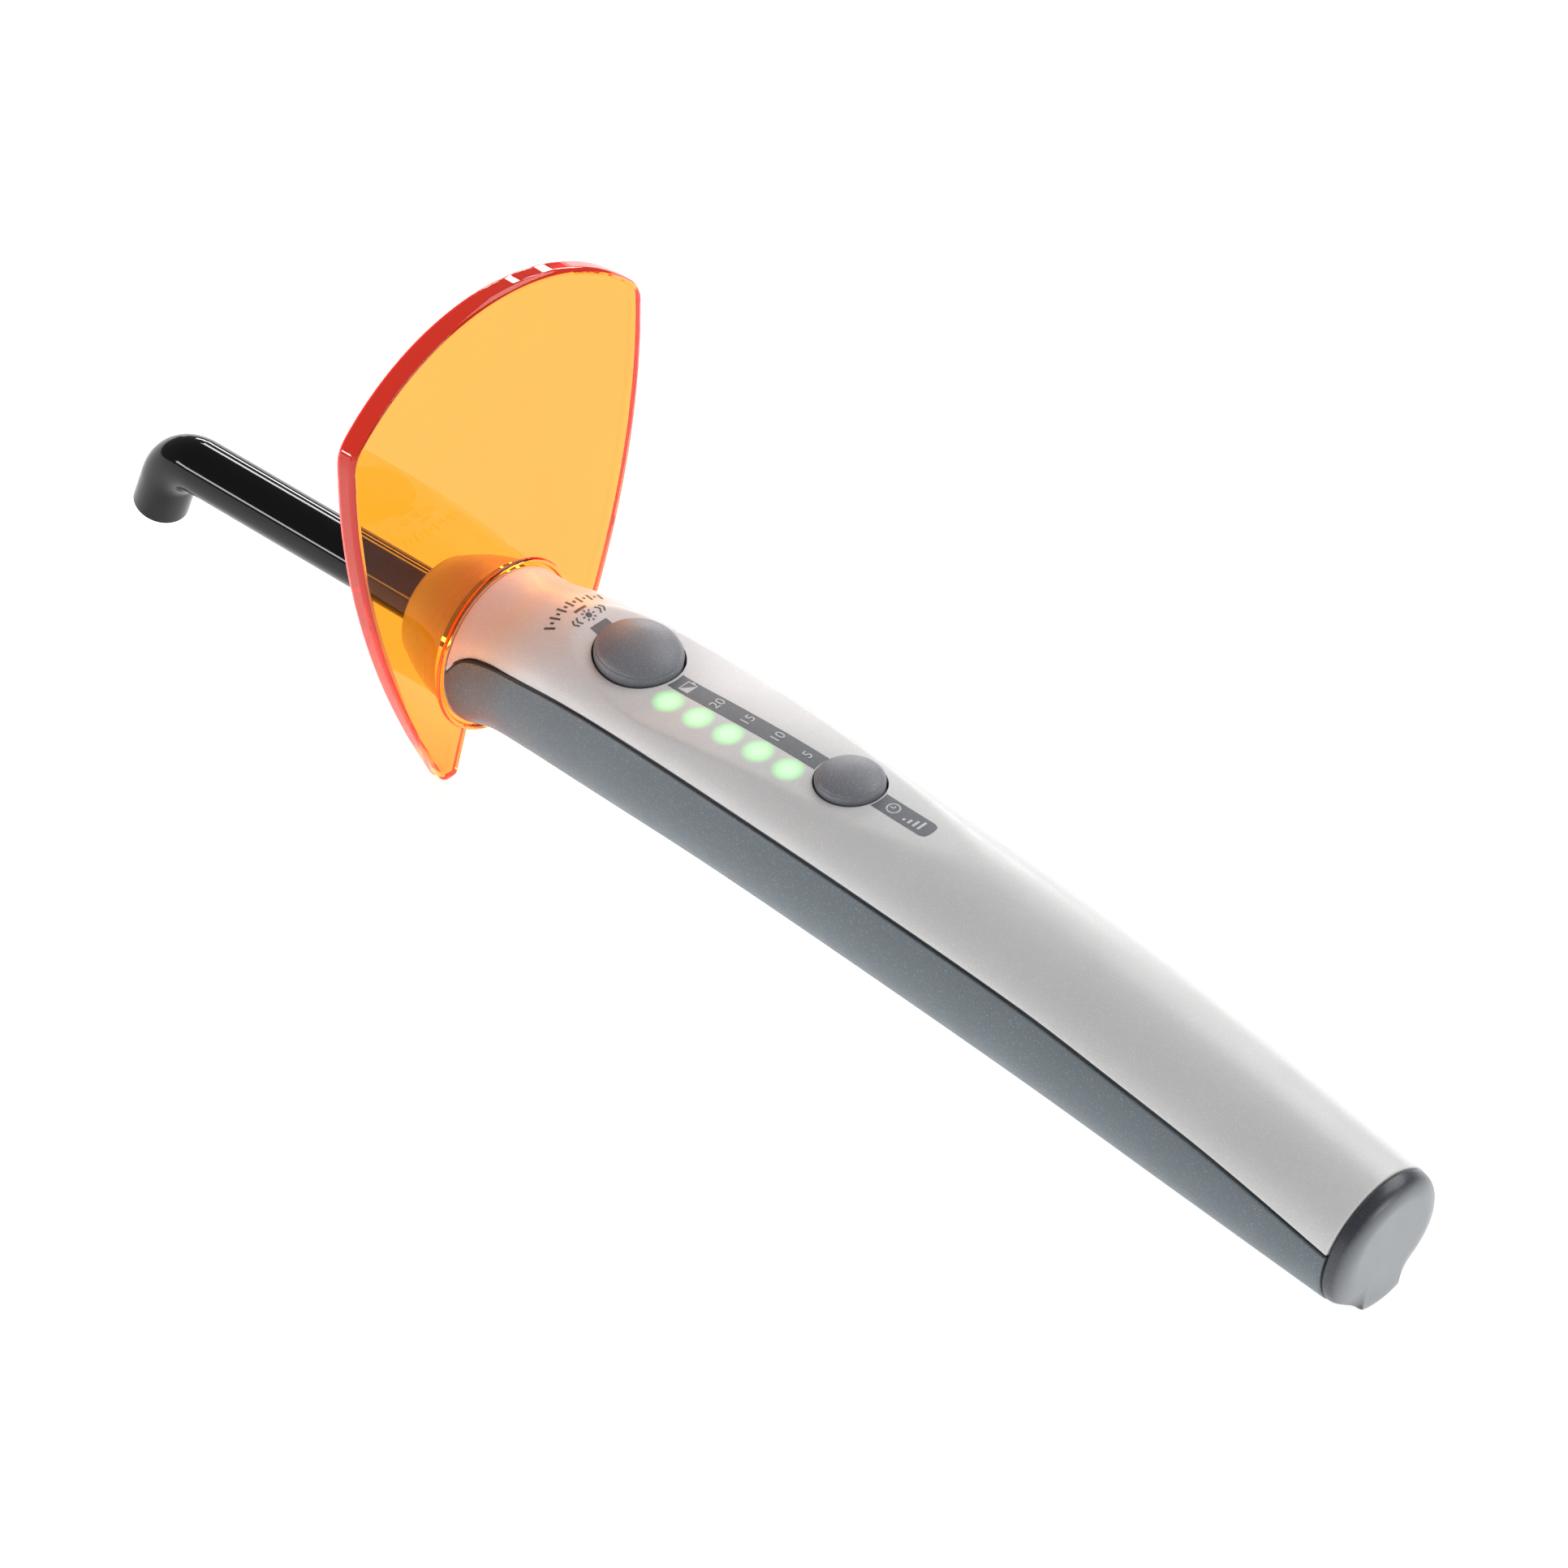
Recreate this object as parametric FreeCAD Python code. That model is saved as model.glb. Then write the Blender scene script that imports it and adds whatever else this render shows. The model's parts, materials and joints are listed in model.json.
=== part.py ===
import FreeCAD, Part
import math
import os
from FreeCAD import Placement, Rotation, Vector

os.makedirs("parts", exist_ok=True)

# Cordless dental curing light.  Lengths in mm.
#
# The pieces are drawn in a working frame: the origin is on the optical axis at the middle of the
# eye shield's hub, +X runs back along the handle, -X runs out along the light guide and +Z is up.
# At the end everything is turned and moved together so that the part stands on z = 0 the way it
# lies on a table, on the two feet of the eye shield and the rear end of the handle.

# ---- Driving dimensions ------------------------------------------------------------------------

# Handle: centre height and radius of its round section at stations along X.  The front end is
# centred on the hub and has a slight waist behind it; from there back the handle droops.
HANDLE_STATIONS = (
    (2.0, 0.1, 14.45),
    (8.0, 0.9, 13.8),
    (16.0, 1.9, 14.4),
    (30.0, 2.3, 15.05),
    (60.0, 1.4, 15.35),
    (95.0, -1.5, 15.25),
    (130.0, -5.4, 14.85),
    (160.0, -10.0, 14.15),
    (196.0, -16.3, 12.8),
)
SHELL_FRONT_X = 2.0
FRONT_WALL_END_X = 8.0
WALL = 2.0
SKIN_OVER_LIGHT_PIPES = 0.8

# Parting line between the two shells, as (x, z); its front end turns down behind the shield.
SPLIT_LINE = (
    (1.0, 0.5),
    (4.5, 5.2),
    (9.5, 6.9),
    (17.0, 7.9),
    (28.0, 8.8),
    (44.0, 8.7),
    (67.0, 7.5),
    (97.0, 5.0),
    (129.0, 1.4),
    (150.0, -2.3),
    (171.0, -6.7),
    (199.0, -14.2),
)
SEAM_WIDTH = 0.4
SEAM_RECESS = 0.2

# Control panel: a shallow crowned flat on top of the handle, scooped up at its front end.
PANEL_LINE = (
    (13.0, 19.8),
    (22.0, 16.4),
    (33.0, 14.25),
    (42.0, 13.4),
    (54.0, 13.7),
    (66.0, 13.9),
    (80.0, 13.5),
    (93.0, 12.95),
    (106.0, 12.5),
    (118.0, 12.2),
)
PANEL_CROWN_RADIUS = 61.0
PANEL_HALF_SPAN = 15.0

# Rear rim of the handle, square to the drooping axis there.
RIM_X = 193.4
RIM_Z = -16.0
RIM_TILT_DEG = 8.5

# Eye shield plate, seen along the axis: corners, crown of the top arc, side curves and feet.
SHIELD_CORNER_Y = 34.0
SHIELD_CORNER_Z = 55.6
SHIELD_TOP_Z = 71.1
SHIELD_SIDE_POLES = ((34.7, 27.9), (27.0, 2.4))
SHIELD_FOOT_Z = -21.8
SHIELD_FOOT_OUTER_Y = 14.0
SHIELD_FOOT_INNER_Y = 11.0
SHIELD_GAP_LEAN = 0.317
SHIELD_FRONT_X = -2.7
SHIELD_BACK_X = 1.6
SHIELD_CORNER_RADIUS = 6.5
SHIELD_FOOT_RADIUS = 1.2
SHIELD_EDGE_RADIUS = 1.1
HUB_OUTER_RADIUS = 15.9
HUB_LIP_RADIUS = 0.5

# Nose: a cone that carries the shield on its root and the light guide in its bore.
NOSE_FRONT_X = -15.3
NOSE_FRONT_RADIUS = 9.9
NOSE_ROOT_RADIUS = 14.1
NOSE_JOURNAL_RADIUS = 14.3
NOSE_JOURNAL_FRONT_X = -3.0
NOSE_JOURNAL_BACK_X = 1.75
NOSE_SPIGOT_RADIUS = 10.4
RUNNING_CLEARANCE = 0.06

# Light guide: straight rod with a tight downward bend near its tip.
GUIDE_RADIUS = 5.0
GUIDE_CORE_RADIUS = 4.35
GUIDE_BACK_X = 1.4
GUIDE_BEND_X = -70.3
GUIDE_BEND_RADIUS = 9.0
GUIDE_BEND_DEG = 70.0
GUIDE_TIP_LENGTH = 7.0
FERRULE_RADIUS = 6.2
COLLAR_RADIUS = 7.0
SOCKET_RADIUS = 7.95
SOCKET_FRONT_X = -14.6

# Push buttons: domed caps through round holes in the panel.
BUTTON_TRAVEL = 0.6
START_X = 33.1
START_RIM_Z = 14.35
START_RADIUS = 7.65
START_DOME = 3.8
START_TILT_DEG = 7.0
TIMER_X = 80.5
TIMER_RIM_Z = 13.65
TIMER_RADIUS = 5.95
TIMER_DOME = 2.35
BUTTON_HOLE_GAP = 0.3
BUTTON_SKIRT_DEPTH = 2.8
BUTTON_FLANGE_REACH = 0.9
BUTTON_FLANGE_THICKNESS = 0.8
BUTTON_FLANGE_GAP = 0.3
BUTTON_STEM_RADIUS = 1.6
BUTTON_STEM_GAP = 0.4

# Status lights in a row beside the panel's centre line.
LIGHT_FIRST_X = 44.2
LIGHT_PITCH = 6.72
LIGHT_COUNT = 5
LIGHT_Y = -4.7
LIGHT_PIPE_RADIUS = 2.1

# Light engine: lens, emitter, its board and the finned heat sink.
LENS_FRONT_X = 5.3
LENS_BACK_X = 10.9
LENS_FRONT_RADIUS = 7.6
LENS_BACK_RADIUS = 3.2
LENS_FLANGE_RADIUS = 8.8
LENS_FLANGE_THICKNESS = 1.2
EMITTER_FRONT_X = 11.2
EMITTER_BACK_X = 12.7
EMITTER_SIZE = 3.5
LED_BOARD_FRONT_X = 12.75
LED_BOARD_BACK_X = 14.35
LED_BOARD_RADIUS = 9.2
SINK_FRONT_X = 14.4
SINK_STEP_X = 24.0
SINK_BACK_X = 52.0
SINK_RADIUS = 9.6
SINK_TOP_Z = 2.8
FIN_GAP_COUNT = 6
FIN_GAP_FIRST_X = 27.0
FIN_GAP_PITCH = 4.0
FIN_GAP_WIDTH = 1.8
FIN_GAP_TOP_Z = -3.5

# Control board and what it carries.
BOARD_TOP_Z = 6.8
BOARD_THICKNESS = 1.6
BOARD_FRONT_X = 24.5
BOARD_BACK_X = 95.0
BOARD_HALF_WIDTH = 8.5
SWITCH_SIZE = 6.0
SWITCH_HEIGHT = 1.5
PLUNGER_RADIUS = 1.7
PLUNGER_TOP_Z = 8.8
SOLDER_GAP = 0.02
LED_LENGTH = 2.0
LED_WIDTH = 1.2
LED_HEIGHT = 1.0
LIGHT_PIPE_GAP = 0.4
BUZZER_X = 60.0
BUZZER_RADIUS = 4.8
BUZZER_HEIGHT = 1.9
CHIP_X = (54.0, 61.0)
CHIP_Y = (1.2, 8.2)
CHIP_HEIGHT = 1.1

# Frame under the control board: two rails, ribs between them and four screws from above.
FRAME_FRONT_X = 26.0
FRAME_BACK_X = 94.0
FRAME_LOW_Z = 3.1
FRAME_TO_BOARD_GAP = 0.05
RAIL_INNER_Y = 5.4
RAIL_OUTER_Y = 7.9
RIB_WIDTH = 3.0
MIDDLE_RIB_X = (48.0, 70.0)
BOARD_SCREW_X = (40.0, 91.0)
BOARD_SCREW_Y = 6.6
BOARD_SCREW_CLEAR_RADIUS = 1.1
BOARD_SCREW_PILOT_RADIUS = 0.95

# Battery: one cylindrical 18 x 65 mm lithium cell, laid along the drooping axis.
CELL_RADIUS = 9.15
CELL_LENGTH = 65.0
CELL_FRONT_X = 109.0
CELL_FRONT_Z = -3.4
CELL_TILT_DEG = 7.6
CELL_CAP_RADIUS = 2.8
CELL_CAP_HEIGHT = 1.0
CONTACT_THICKNESS = 0.5
CONTACT_GAP = 0.1
CONTACT_SPRING_RADII = (4.0, 2.2)
CONTACT_SPRING_LENGTH = 1.6
CRADLE_WALL = 1.2
CRADLE_CLEARANCE = 0.15
CRADLE_END_GAP = 2.0
CRADLE_OPEN_Z = -1.5

# Rear cap.
CAP_GAP = 0.3
CAP_RADIUS = 12.75
CAP_DEPTH = 3.6
CAP_ROUND = 3.5
TONGUE_HALF_WIDTH = 4.4
TONGUE_REACH = 12.2
TONGUE_END_RADIUS = 0.8
SCOOP_RADIUS = 5.0
SCOOP_LENGTH = 14.0
SCOOP_SETBACK = 1.8
SPIGOT_RADIUS = 10.2
SPIGOT_LENGTH = 7.0
SPIGOT_WALL = 1.5
SEAL_X = -3.6
SEAL_SECTION_RADIUS = 0.7
SEAL_SINK = 0.35

# Rear bulkhead and charging port, along the rim's axis from the rim.
BULKHEAD_FRONT = -12.0
BULKHEAD_BACK = -9.8
BULKHEAD_SCREW_Y = 8.2
PORT_HALF_WIDTH = 4.5
PORT_HALF_HEIGHT = 1.6
PORT_WALL = 1.0
PORT_CORNER_RADIUS = 1.2
PORT_FLOOR = -8.6
PORT_MOUTH = -3.0
PORT_BLADE_HALF_WIDTH = 3.3
PORT_BLADE_HALF_THICKNESS = 0.35
PORT_BLADE_END = -4.2

X_AXIS = Vector(1, 0, 0)
Y_AXIS = Vector(0, 1, 0)
Z_AXIS = Vector(0, 0, 1)

shapes = {}


# ---- Helpers -----------------------------------------------------------------------------------

def smooth_value(x, points):
    """Value at x of a smooth curve through (x, value) points, level-headed between neighbours."""
    last = len(points) - 2
    i = max(0, min(last, sum(1 for p in points[1:-1] if x > p[0])))
    x0, v0 = points[i]
    x1, v1 = points[i + 1]

    def slope(k):
        low = max(0, k - 1)
        high = min(len(points) - 1, k + 1)
        return (points[high][1] - points[low][1]) / (points[high][0] - points[low][0])

    span = x1 - x0
    t = (x - x0) / span
    rise = v0 * (1 + 2 * t) * (1 - t) ** 2 + v1 * t * t * (3 - 2 * t)
    lean = slope(i) * t * (1 - t) ** 2 - slope(i + 1) * t * t * (1 - t)
    return rise + span * lean


def centre_z(x):
    return smooth_value(x, [(s[0], s[1]) for s in HANDLE_STATIONS])


def handle_radius(x):
    return smooth_value(x, [(s[0], s[2]) for s in HANDLE_STATIONS])


def panel_z(x):
    return smooth_value(x, PANEL_LINE)


def rod(x0, x1, radius, z=0.0):
    return Part.makeCylinder(radius, x1 - x0, Vector(x0, 0, z), X_AXIS)


def tube(x0, x1, outer, inner):
    return rod(x0, x1, outer).cut(rod(x0 - 1, x1 + 1, inner))


def block(x0, x1, y0, y1, z0, z1):
    return Part.makeBox(x1 - x0, y1 - y0, z1 - z0, Vector(x0, y0, z0))


def revolve_about_x(edges):
    face = Part.Face(Part.Wire(edges))
    return face.revolve(Vector(0, 0, 0), X_AXIS, 360)


def polyline(points):
    return [Part.LineSegment(a, b).toShape() for a, b in zip(points, points[1:])]


def handle_form(inset, x0, x1):
    """Solid of the handle's outer form, drawn in by inset, from x0 to x1."""
    count = 10
    wires = []
    for i in range(count):
        x = x0 + (x1 - x0) * i / (count - 1)
        ring = Part.Circle(Vector(x, 0, centre_z(x)), X_AXIS, handle_radius(x) - inset)
        wires.append(Part.Wire(ring.toShape()))
    return Part.makeLoft(wires, True, False)


def above_panel(drop):
    """Everything over the control panel's crowned surface, lowered by drop."""
    sag = PANEL_CROWN_RADIUS - math.sqrt(PANEL_CROWN_RADIUS ** 2 - PANEL_HALF_SPAN ** 2)
    wires = []
    for x, z in PANEL_LINE:
        left = Vector(x, -PANEL_HALF_SPAN, z - sag - drop)
        right = Vector(x, PANEL_HALF_SPAN, z - sag - drop)
        crown = Part.Arc(left, Vector(x, 0, z - drop), right).toShape()
        top = Vector(x, PANEL_HALF_SPAN, 40)
        sides = polyline([right, top, Vector(x, -PANEL_HALF_SPAN, 40), left])
        wires.append(Part.Wire([crown] + sides))
    return Part.makeLoft(wires, True, False)


def above_split(shift):
    """Everything over the parting line, moved up by shift."""
    curve = Part.BSplineCurve()
    curve.interpolate([Vector(x, -30, z + shift) for x, z in SPLIT_LINE])
    first = Vector(SPLIT_LINE[0][0], -30, SPLIT_LINE[0][1] + shift)
    last = Vector(SPLIT_LINE[-1][0], -30, SPLIT_LINE[-1][1] + shift)
    low = Vector(-3, -30, -2 + shift)
    lid = [last, Vector(205, -30, last.z), Vector(205, -30, 40), Vector(-3, -30, 40), low, first]
    outline = Part.Wire([curve.toShape()] + polyline(lid))
    return Part.Face(outline).extrude(Vector(0, 60, 0))


def at_rim(shape):
    """Moves a shape drawn about the X axis to the rear rim, square to the drooping axis."""
    placed = shape.copy()
    rim = Placement(Vector(RIM_X, 0, RIM_Z), Rotation(Y_AXIS, RIM_TILT_DEG))
    placed.Placement = rim.multiply(shape.Placement)
    return placed


def at_cell(shape):
    """Moves a shape drawn about the X axis to the battery's tilted axis."""
    placed = shape.copy()
    cell = Placement(Vector(CELL_FRONT_X, 0, CELL_FRONT_Z), Rotation(Y_AXIS, CELL_TILT_DEG))
    placed.Placement = cell.multiply(shape.Placement)
    return placed


# ---- Shells ------------------------------------------------------------------------------------

def button_placement(x, rim_z, tilt_deg):
    return Placement(Vector(x, 0, rim_z), Rotation(Y_AXIS, tilt_deg))


def button_hole(x, rim_z, radius, tilt_deg):
    hole = Part.makeCylinder(radius + BUTTON_HOLE_GAP, 20, Vector(0, 0, -10))
    hole.Placement = button_placement(x, rim_z, tilt_deg)
    return hole


def light_positions():
    return [LIGHT_FIRST_X + i * LIGHT_PITCH for i in range(LIGHT_COUNT)]


def pipe_top(x):
    sag = LIGHT_Y ** 2 / (2 * PANEL_CROWN_RADIUS)
    return panel_z(x) - sag - SKIN_OVER_LIGHT_PIPES


def make_shells():
    beyond_rim = at_rim(block(0, 40, -40, 40, -40, 40))
    outer = handle_form(0, SHELL_FRONT_X, 205).cut(beyond_rim).cut(above_panel(0))
    cavity = handle_form(WALL, FRONT_WALL_END_X, 205).cut(above_panel(WALL))
    shell = outer.cut(cavity).cut(rod(0, FRONT_WALL_END_X + 1, NOSE_SPIGOT_RADIUS + 0.1))
    upper = shell.common(above_split(SEAM_WIDTH / 2))
    lower = shell.cut(above_split(-SEAM_WIDTH / 2))
    band = above_split(-SEAM_WIDTH / 2 + 0.02).cut(above_split(SEAM_WIDTH / 2 - 0.02))
    inner_face = handle_form(SEAM_RECESS, SHELL_FRONT_X + 0.2, 205).cut(beyond_rim)
    gasket = inner_face.cut(handle_form(WALL, 0, 205)).common(band)
    upper = upper.cut(button_hole(START_X, START_RIM_Z, START_RADIUS, START_TILT_DEG))
    upper = upper.cut(button_hole(TIMER_X, TIMER_RIM_Z, TIMER_RADIUS, 0))
    for x in light_positions():
        foot = Vector(x, LIGHT_Y, BOARD_TOP_Z)
        depth = pipe_top(x) - BOARD_TOP_Z + 0.1
        upper = upper.cut(Part.makeCylinder(LIGHT_PIPE_RADIUS + 0.1, depth, foot))
    shapes["upper_shell"] = upper
    shapes["lower_shell"] = lower
    shapes["seam_gasket"] = gasket


# ---- Nose, eye shield and light guide ----------------------------------------------------------

def make_nose():
    bore = SOCKET_RADIUS + 0.05
    groove_front = -1.3
    groove_back = 0.3
    groove_floor = NOSE_JOURNAL_RADIUS - 1.3
    cone_start = Vector(NOSE_FRONT_X + 0.7, 0, NOSE_FRONT_RADIUS)
    cone_mid = Vector(-9.0, 0, 12.6)
    cone_end = Vector(NOSE_JOURNAL_FRONT_X, 0, NOSE_ROOT_RADIUS)
    front_in = Vector(NOSE_FRONT_X, 0, bore)
    front_out = Vector(NOSE_FRONT_X, 0, NOSE_FRONT_RADIUS - 0.7)
    round_mid = Vector(NOSE_FRONT_X + 0.2, 0, NOSE_FRONT_RADIUS - 0.2)
    rest = polyline([
        cone_end,
        Vector(NOSE_JOURNAL_FRONT_X, 0, NOSE_JOURNAL_RADIUS),
        Vector(groove_front, 0, NOSE_JOURNAL_RADIUS),
        Vector(groove_front, 0, groove_floor),
        Vector(groove_back, 0, groove_floor),
        Vector(groove_back, 0, NOSE_JOURNAL_RADIUS),
        Vector(NOSE_JOURNAL_BACK_X, 0, NOSE_JOURNAL_RADIUS),
        Vector(NOSE_JOURNAL_BACK_X, 0, NOSE_SPIGOT_RADIUS),
        Vector(FRONT_WALL_END_X, 0, NOSE_SPIGOT_RADIUS),
        Vector(FRONT_WALL_END_X, 0, 9.2),
        Vector(2.1, 0, 9.2),
        Vector(2.1, 0, bore),
        front_in,
        front_out,
    ])
    edge_round = Part.Arc(front_out, round_mid, cone_start).toShape()
    cone = Part.Arc(cone_start, cone_mid, cone_end).toShape()
    shapes["nose_cone"] = revolve_about_x([edge_round, cone] + rest)
    ring_section = 0.63
    shapes["friction_ring"] = Part.makeTorus(
        NOSE_JOURNAL_RADIUS - ring_section, ring_section, Vector(-0.5, 0, 0), X_AXIS)
    shapes["guide_socket"] = tube(SOCKET_FRONT_X, 2.0, SOCKET_RADIUS, COLLAR_RADIUS + RUNNING_CLEARANCE)
    shapes["ring_magnet"] = tube(2.2, 4.9, 9.1, 5.6)


def shield_outline():
    """Closed outline of the plate in the YZ plane; the gap between its feet reaches into the hub."""
    left_corner = Vector(0, -SHIELD_CORNER_Y, SHIELD_CORNER_Z)
    right_corner = Vector(0, SHIELD_CORNER_Y, SHIELD_CORNER_Z)
    edges = [Part.Arc(left_corner, Vector(0, 0, SHIELD_TOP_Z), right_corner).toShape()]
    gap_top_y = SHIELD_FOOT_INNER_Y + SHIELD_GAP_LEAN * SHIELD_FOOT_Z
    for side in (1, -1):
        corner = Vector(0, side * SHIELD_CORNER_Y, SHIELD_CORNER_Z)
        foot = Vector(0, side * SHIELD_FOOT_OUTER_Y, SHIELD_FOOT_Z)
        curve = Part.BezierCurve()
        poles = [Vector(0, side * y, z) for y, z in SHIELD_SIDE_POLES]
        curve.setPoles([corner] + poles + [foot])
        edges.append(curve.toShape())
        inner = Vector(0, side * SHIELD_FOOT_INNER_Y, SHIELD_FOOT_Z)
        edges += polyline([foot, inner, Vector(0, side * gap_top_y, 0)])
    edges += polyline([Vector(0, -gap_top_y, 0), Vector(0, gap_top_y, 0)])
    return Part.Wire(Part.__sortEdges__(edges))


def edges_along_x(shape, near):
    """Edges parallel to X whose (y, z) place satisfies near."""
    found = []
    for edge in shape.Edges:
        box = edge.BoundBox
        along_x = box.YLength < 0.01 and box.ZLength < 0.01 and box.XLength > 1
        start = edge.Vertexes[0].Point
        if along_x and near(abs(start.y), start.z):
            found.append(edge)
    return found


def make_shield():
    thickness = SHIELD_BACK_X - SHIELD_FRONT_X
    plate = Part.Face(shield_outline()).extrude(Vector(thickness, 0, 0))
    plate.translate(Vector(SHIELD_FRONT_X, 0, 0))
    plate = plate.makeFillet(SHIELD_CORNER_RADIUS, edges_along_x(plate, lambda y, z: z > 50))
    plate = plate.makeFillet(SHIELD_FOOT_RADIUS, edges_along_x(plate, lambda y, z: z < -20))
    rim_edges = []
    for edge in plate.Edges:
        box = edge.BoundBox
        flat = box.XLength < 0.01
        clear_of_hub = max(abs(box.YMax), abs(box.YMin)) > 10.9
        if flat and clear_of_hub:
            rim_edges.append(edge)
    plate = plate.makeFillet(SHIELD_EDGE_RADIUS, rim_edges)
    bore = NOSE_JOURNAL_RADIUS + RUNNING_CLEARANCE
    hub = rod(SHIELD_FRONT_X + 0.1, SHIELD_BACK_X - 0.1, HUB_OUTER_RADIUS)
    lip_place = Vector(SHIELD_BACK_X, 0, 0)
    lip = Part.makeTorus(HUB_OUTER_RADIUS - HUB_LIP_RADIUS, HUB_LIP_RADIUS, lip_place, X_AXIS)
    plate = plate.fuse([hub, lip])
    shapes["eye_shield"] = plate.cut(rod(-10, 10, bore)).removeSplitter()


def guide_path():
    turn = math.radians(GUIDE_BEND_DEG)
    half = turn / 2
    start = Vector(GUIDE_BACK_X, 0, 0)
    bend_in = Vector(GUIDE_BEND_X, 0, 0)

    def on_arc(angle):
        dx = GUIDE_BEND_RADIUS * math.sin(angle)
        dz = GUIDE_BEND_RADIUS * (1 - math.cos(angle))
        return Vector(GUIDE_BEND_X - dx, 0, -dz)

    bend_out = on_arc(turn)
    tip_step = Vector(-math.cos(turn), 0, -math.sin(turn)) * GUIDE_TIP_LENGTH
    return Part.Wire([
        Part.LineSegment(start, bend_in).toShape(),
        Part.Arc(bend_in, on_arc(half), bend_out).toShape(),
        Part.LineSegment(bend_out, bend_out + tip_step).toShape(),
    ])


def sweep_round(path, radius):
    profile = Part.Wire(Part.Circle(Vector(GUIDE_BACK_X, 0, 0), X_AXIS, radius).toShape())
    return path.makePipeShell([profile], True, True)


def make_light_guide():
    path = guide_path()
    full = sweep_round(path, GUIDE_RADIUS)
    shapes["guide_sheath"] = full.cut(sweep_round(path, GUIDE_CORE_RADIUS + 0.02))
    shapes["guide_core"] = sweep_round(path, GUIDE_CORE_RADIUS)
    shapes["guide_ferrule"] = tube(-14.8, GUIDE_BACK_X, FERRULE_RADIUS, GUIDE_RADIUS + 0.02)
    shapes["guide_collar"] = tube(-15.0, GUIDE_BACK_X, COLLAR_RADIUS, FERRULE_RADIUS + RUNNING_CLEARANCE)


# ---- Light engine ------------------------------------------------------------------------------

def make_light_engine():
    lens_length = LENS_BACK_X - LENS_FRONT_X
    lens_place = Vector(LENS_FRONT_X, 0, 0)
    lens = Part.makeCone(LENS_FRONT_RADIUS, LENS_BACK_RADIUS, lens_length, lens_place, X_AXIS)
    flange = rod(LENS_FRONT_X, LENS_FRONT_X + LENS_FLANGE_THICKNESS, LENS_FLANGE_RADIUS)
    shapes["collimator_lens"] = lens.fuse(flange)
    half = EMITTER_SIZE / 2
    shapes["led_emitter"] = block(EMITTER_FRONT_X, EMITTER_BACK_X, -half, half, -half, half)
    shapes["led_board"] = rod(LED_BOARD_FRONT_X, LED_BOARD_BACK_X, LED_BOARD_RADIUS)
    under_board = block(SINK_STEP_X, SINK_BACK_X, -SINK_RADIUS, SINK_RADIUS, -SINK_RADIUS, SINK_TOP_Z)
    sink = rod(SINK_FRONT_X, SINK_STEP_X, SINK_RADIUS)
    sink = sink.fuse(rod(SINK_STEP_X, SINK_BACK_X, SINK_RADIUS).common(under_board))
    for i in range(FIN_GAP_COUNT):
        x = FIN_GAP_FIRST_X + i * FIN_GAP_PITCH
        gap = block(x, x + FIN_GAP_WIDTH, -11, 11, -11, FIN_GAP_TOP_Z)
        sink = sink.cut(gap)
    shapes["heat_sink"] = sink.removeSplitter()


# ---- Control board -----------------------------------------------------------------------------

def screw(x, y, head_base_z, shank_end_z):
    head = Part.makeCylinder(1.8, 1.2, Vector(x, y, head_base_z))
    shank = Part.makeCylinder(0.9, head_base_z - shank_end_z, Vector(x, y, shank_end_z))
    slot = block(x - 1.3, x + 1.3, y - 0.25, y + 0.25, head_base_z + 0.7, head_base_z + 2)
    cross = block(x - 0.25, x + 0.25, y - 1.3, y + 1.3, head_base_z + 0.7, head_base_z + 2)
    return head.fuse(shank).cut(slot).cut(cross)


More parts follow.
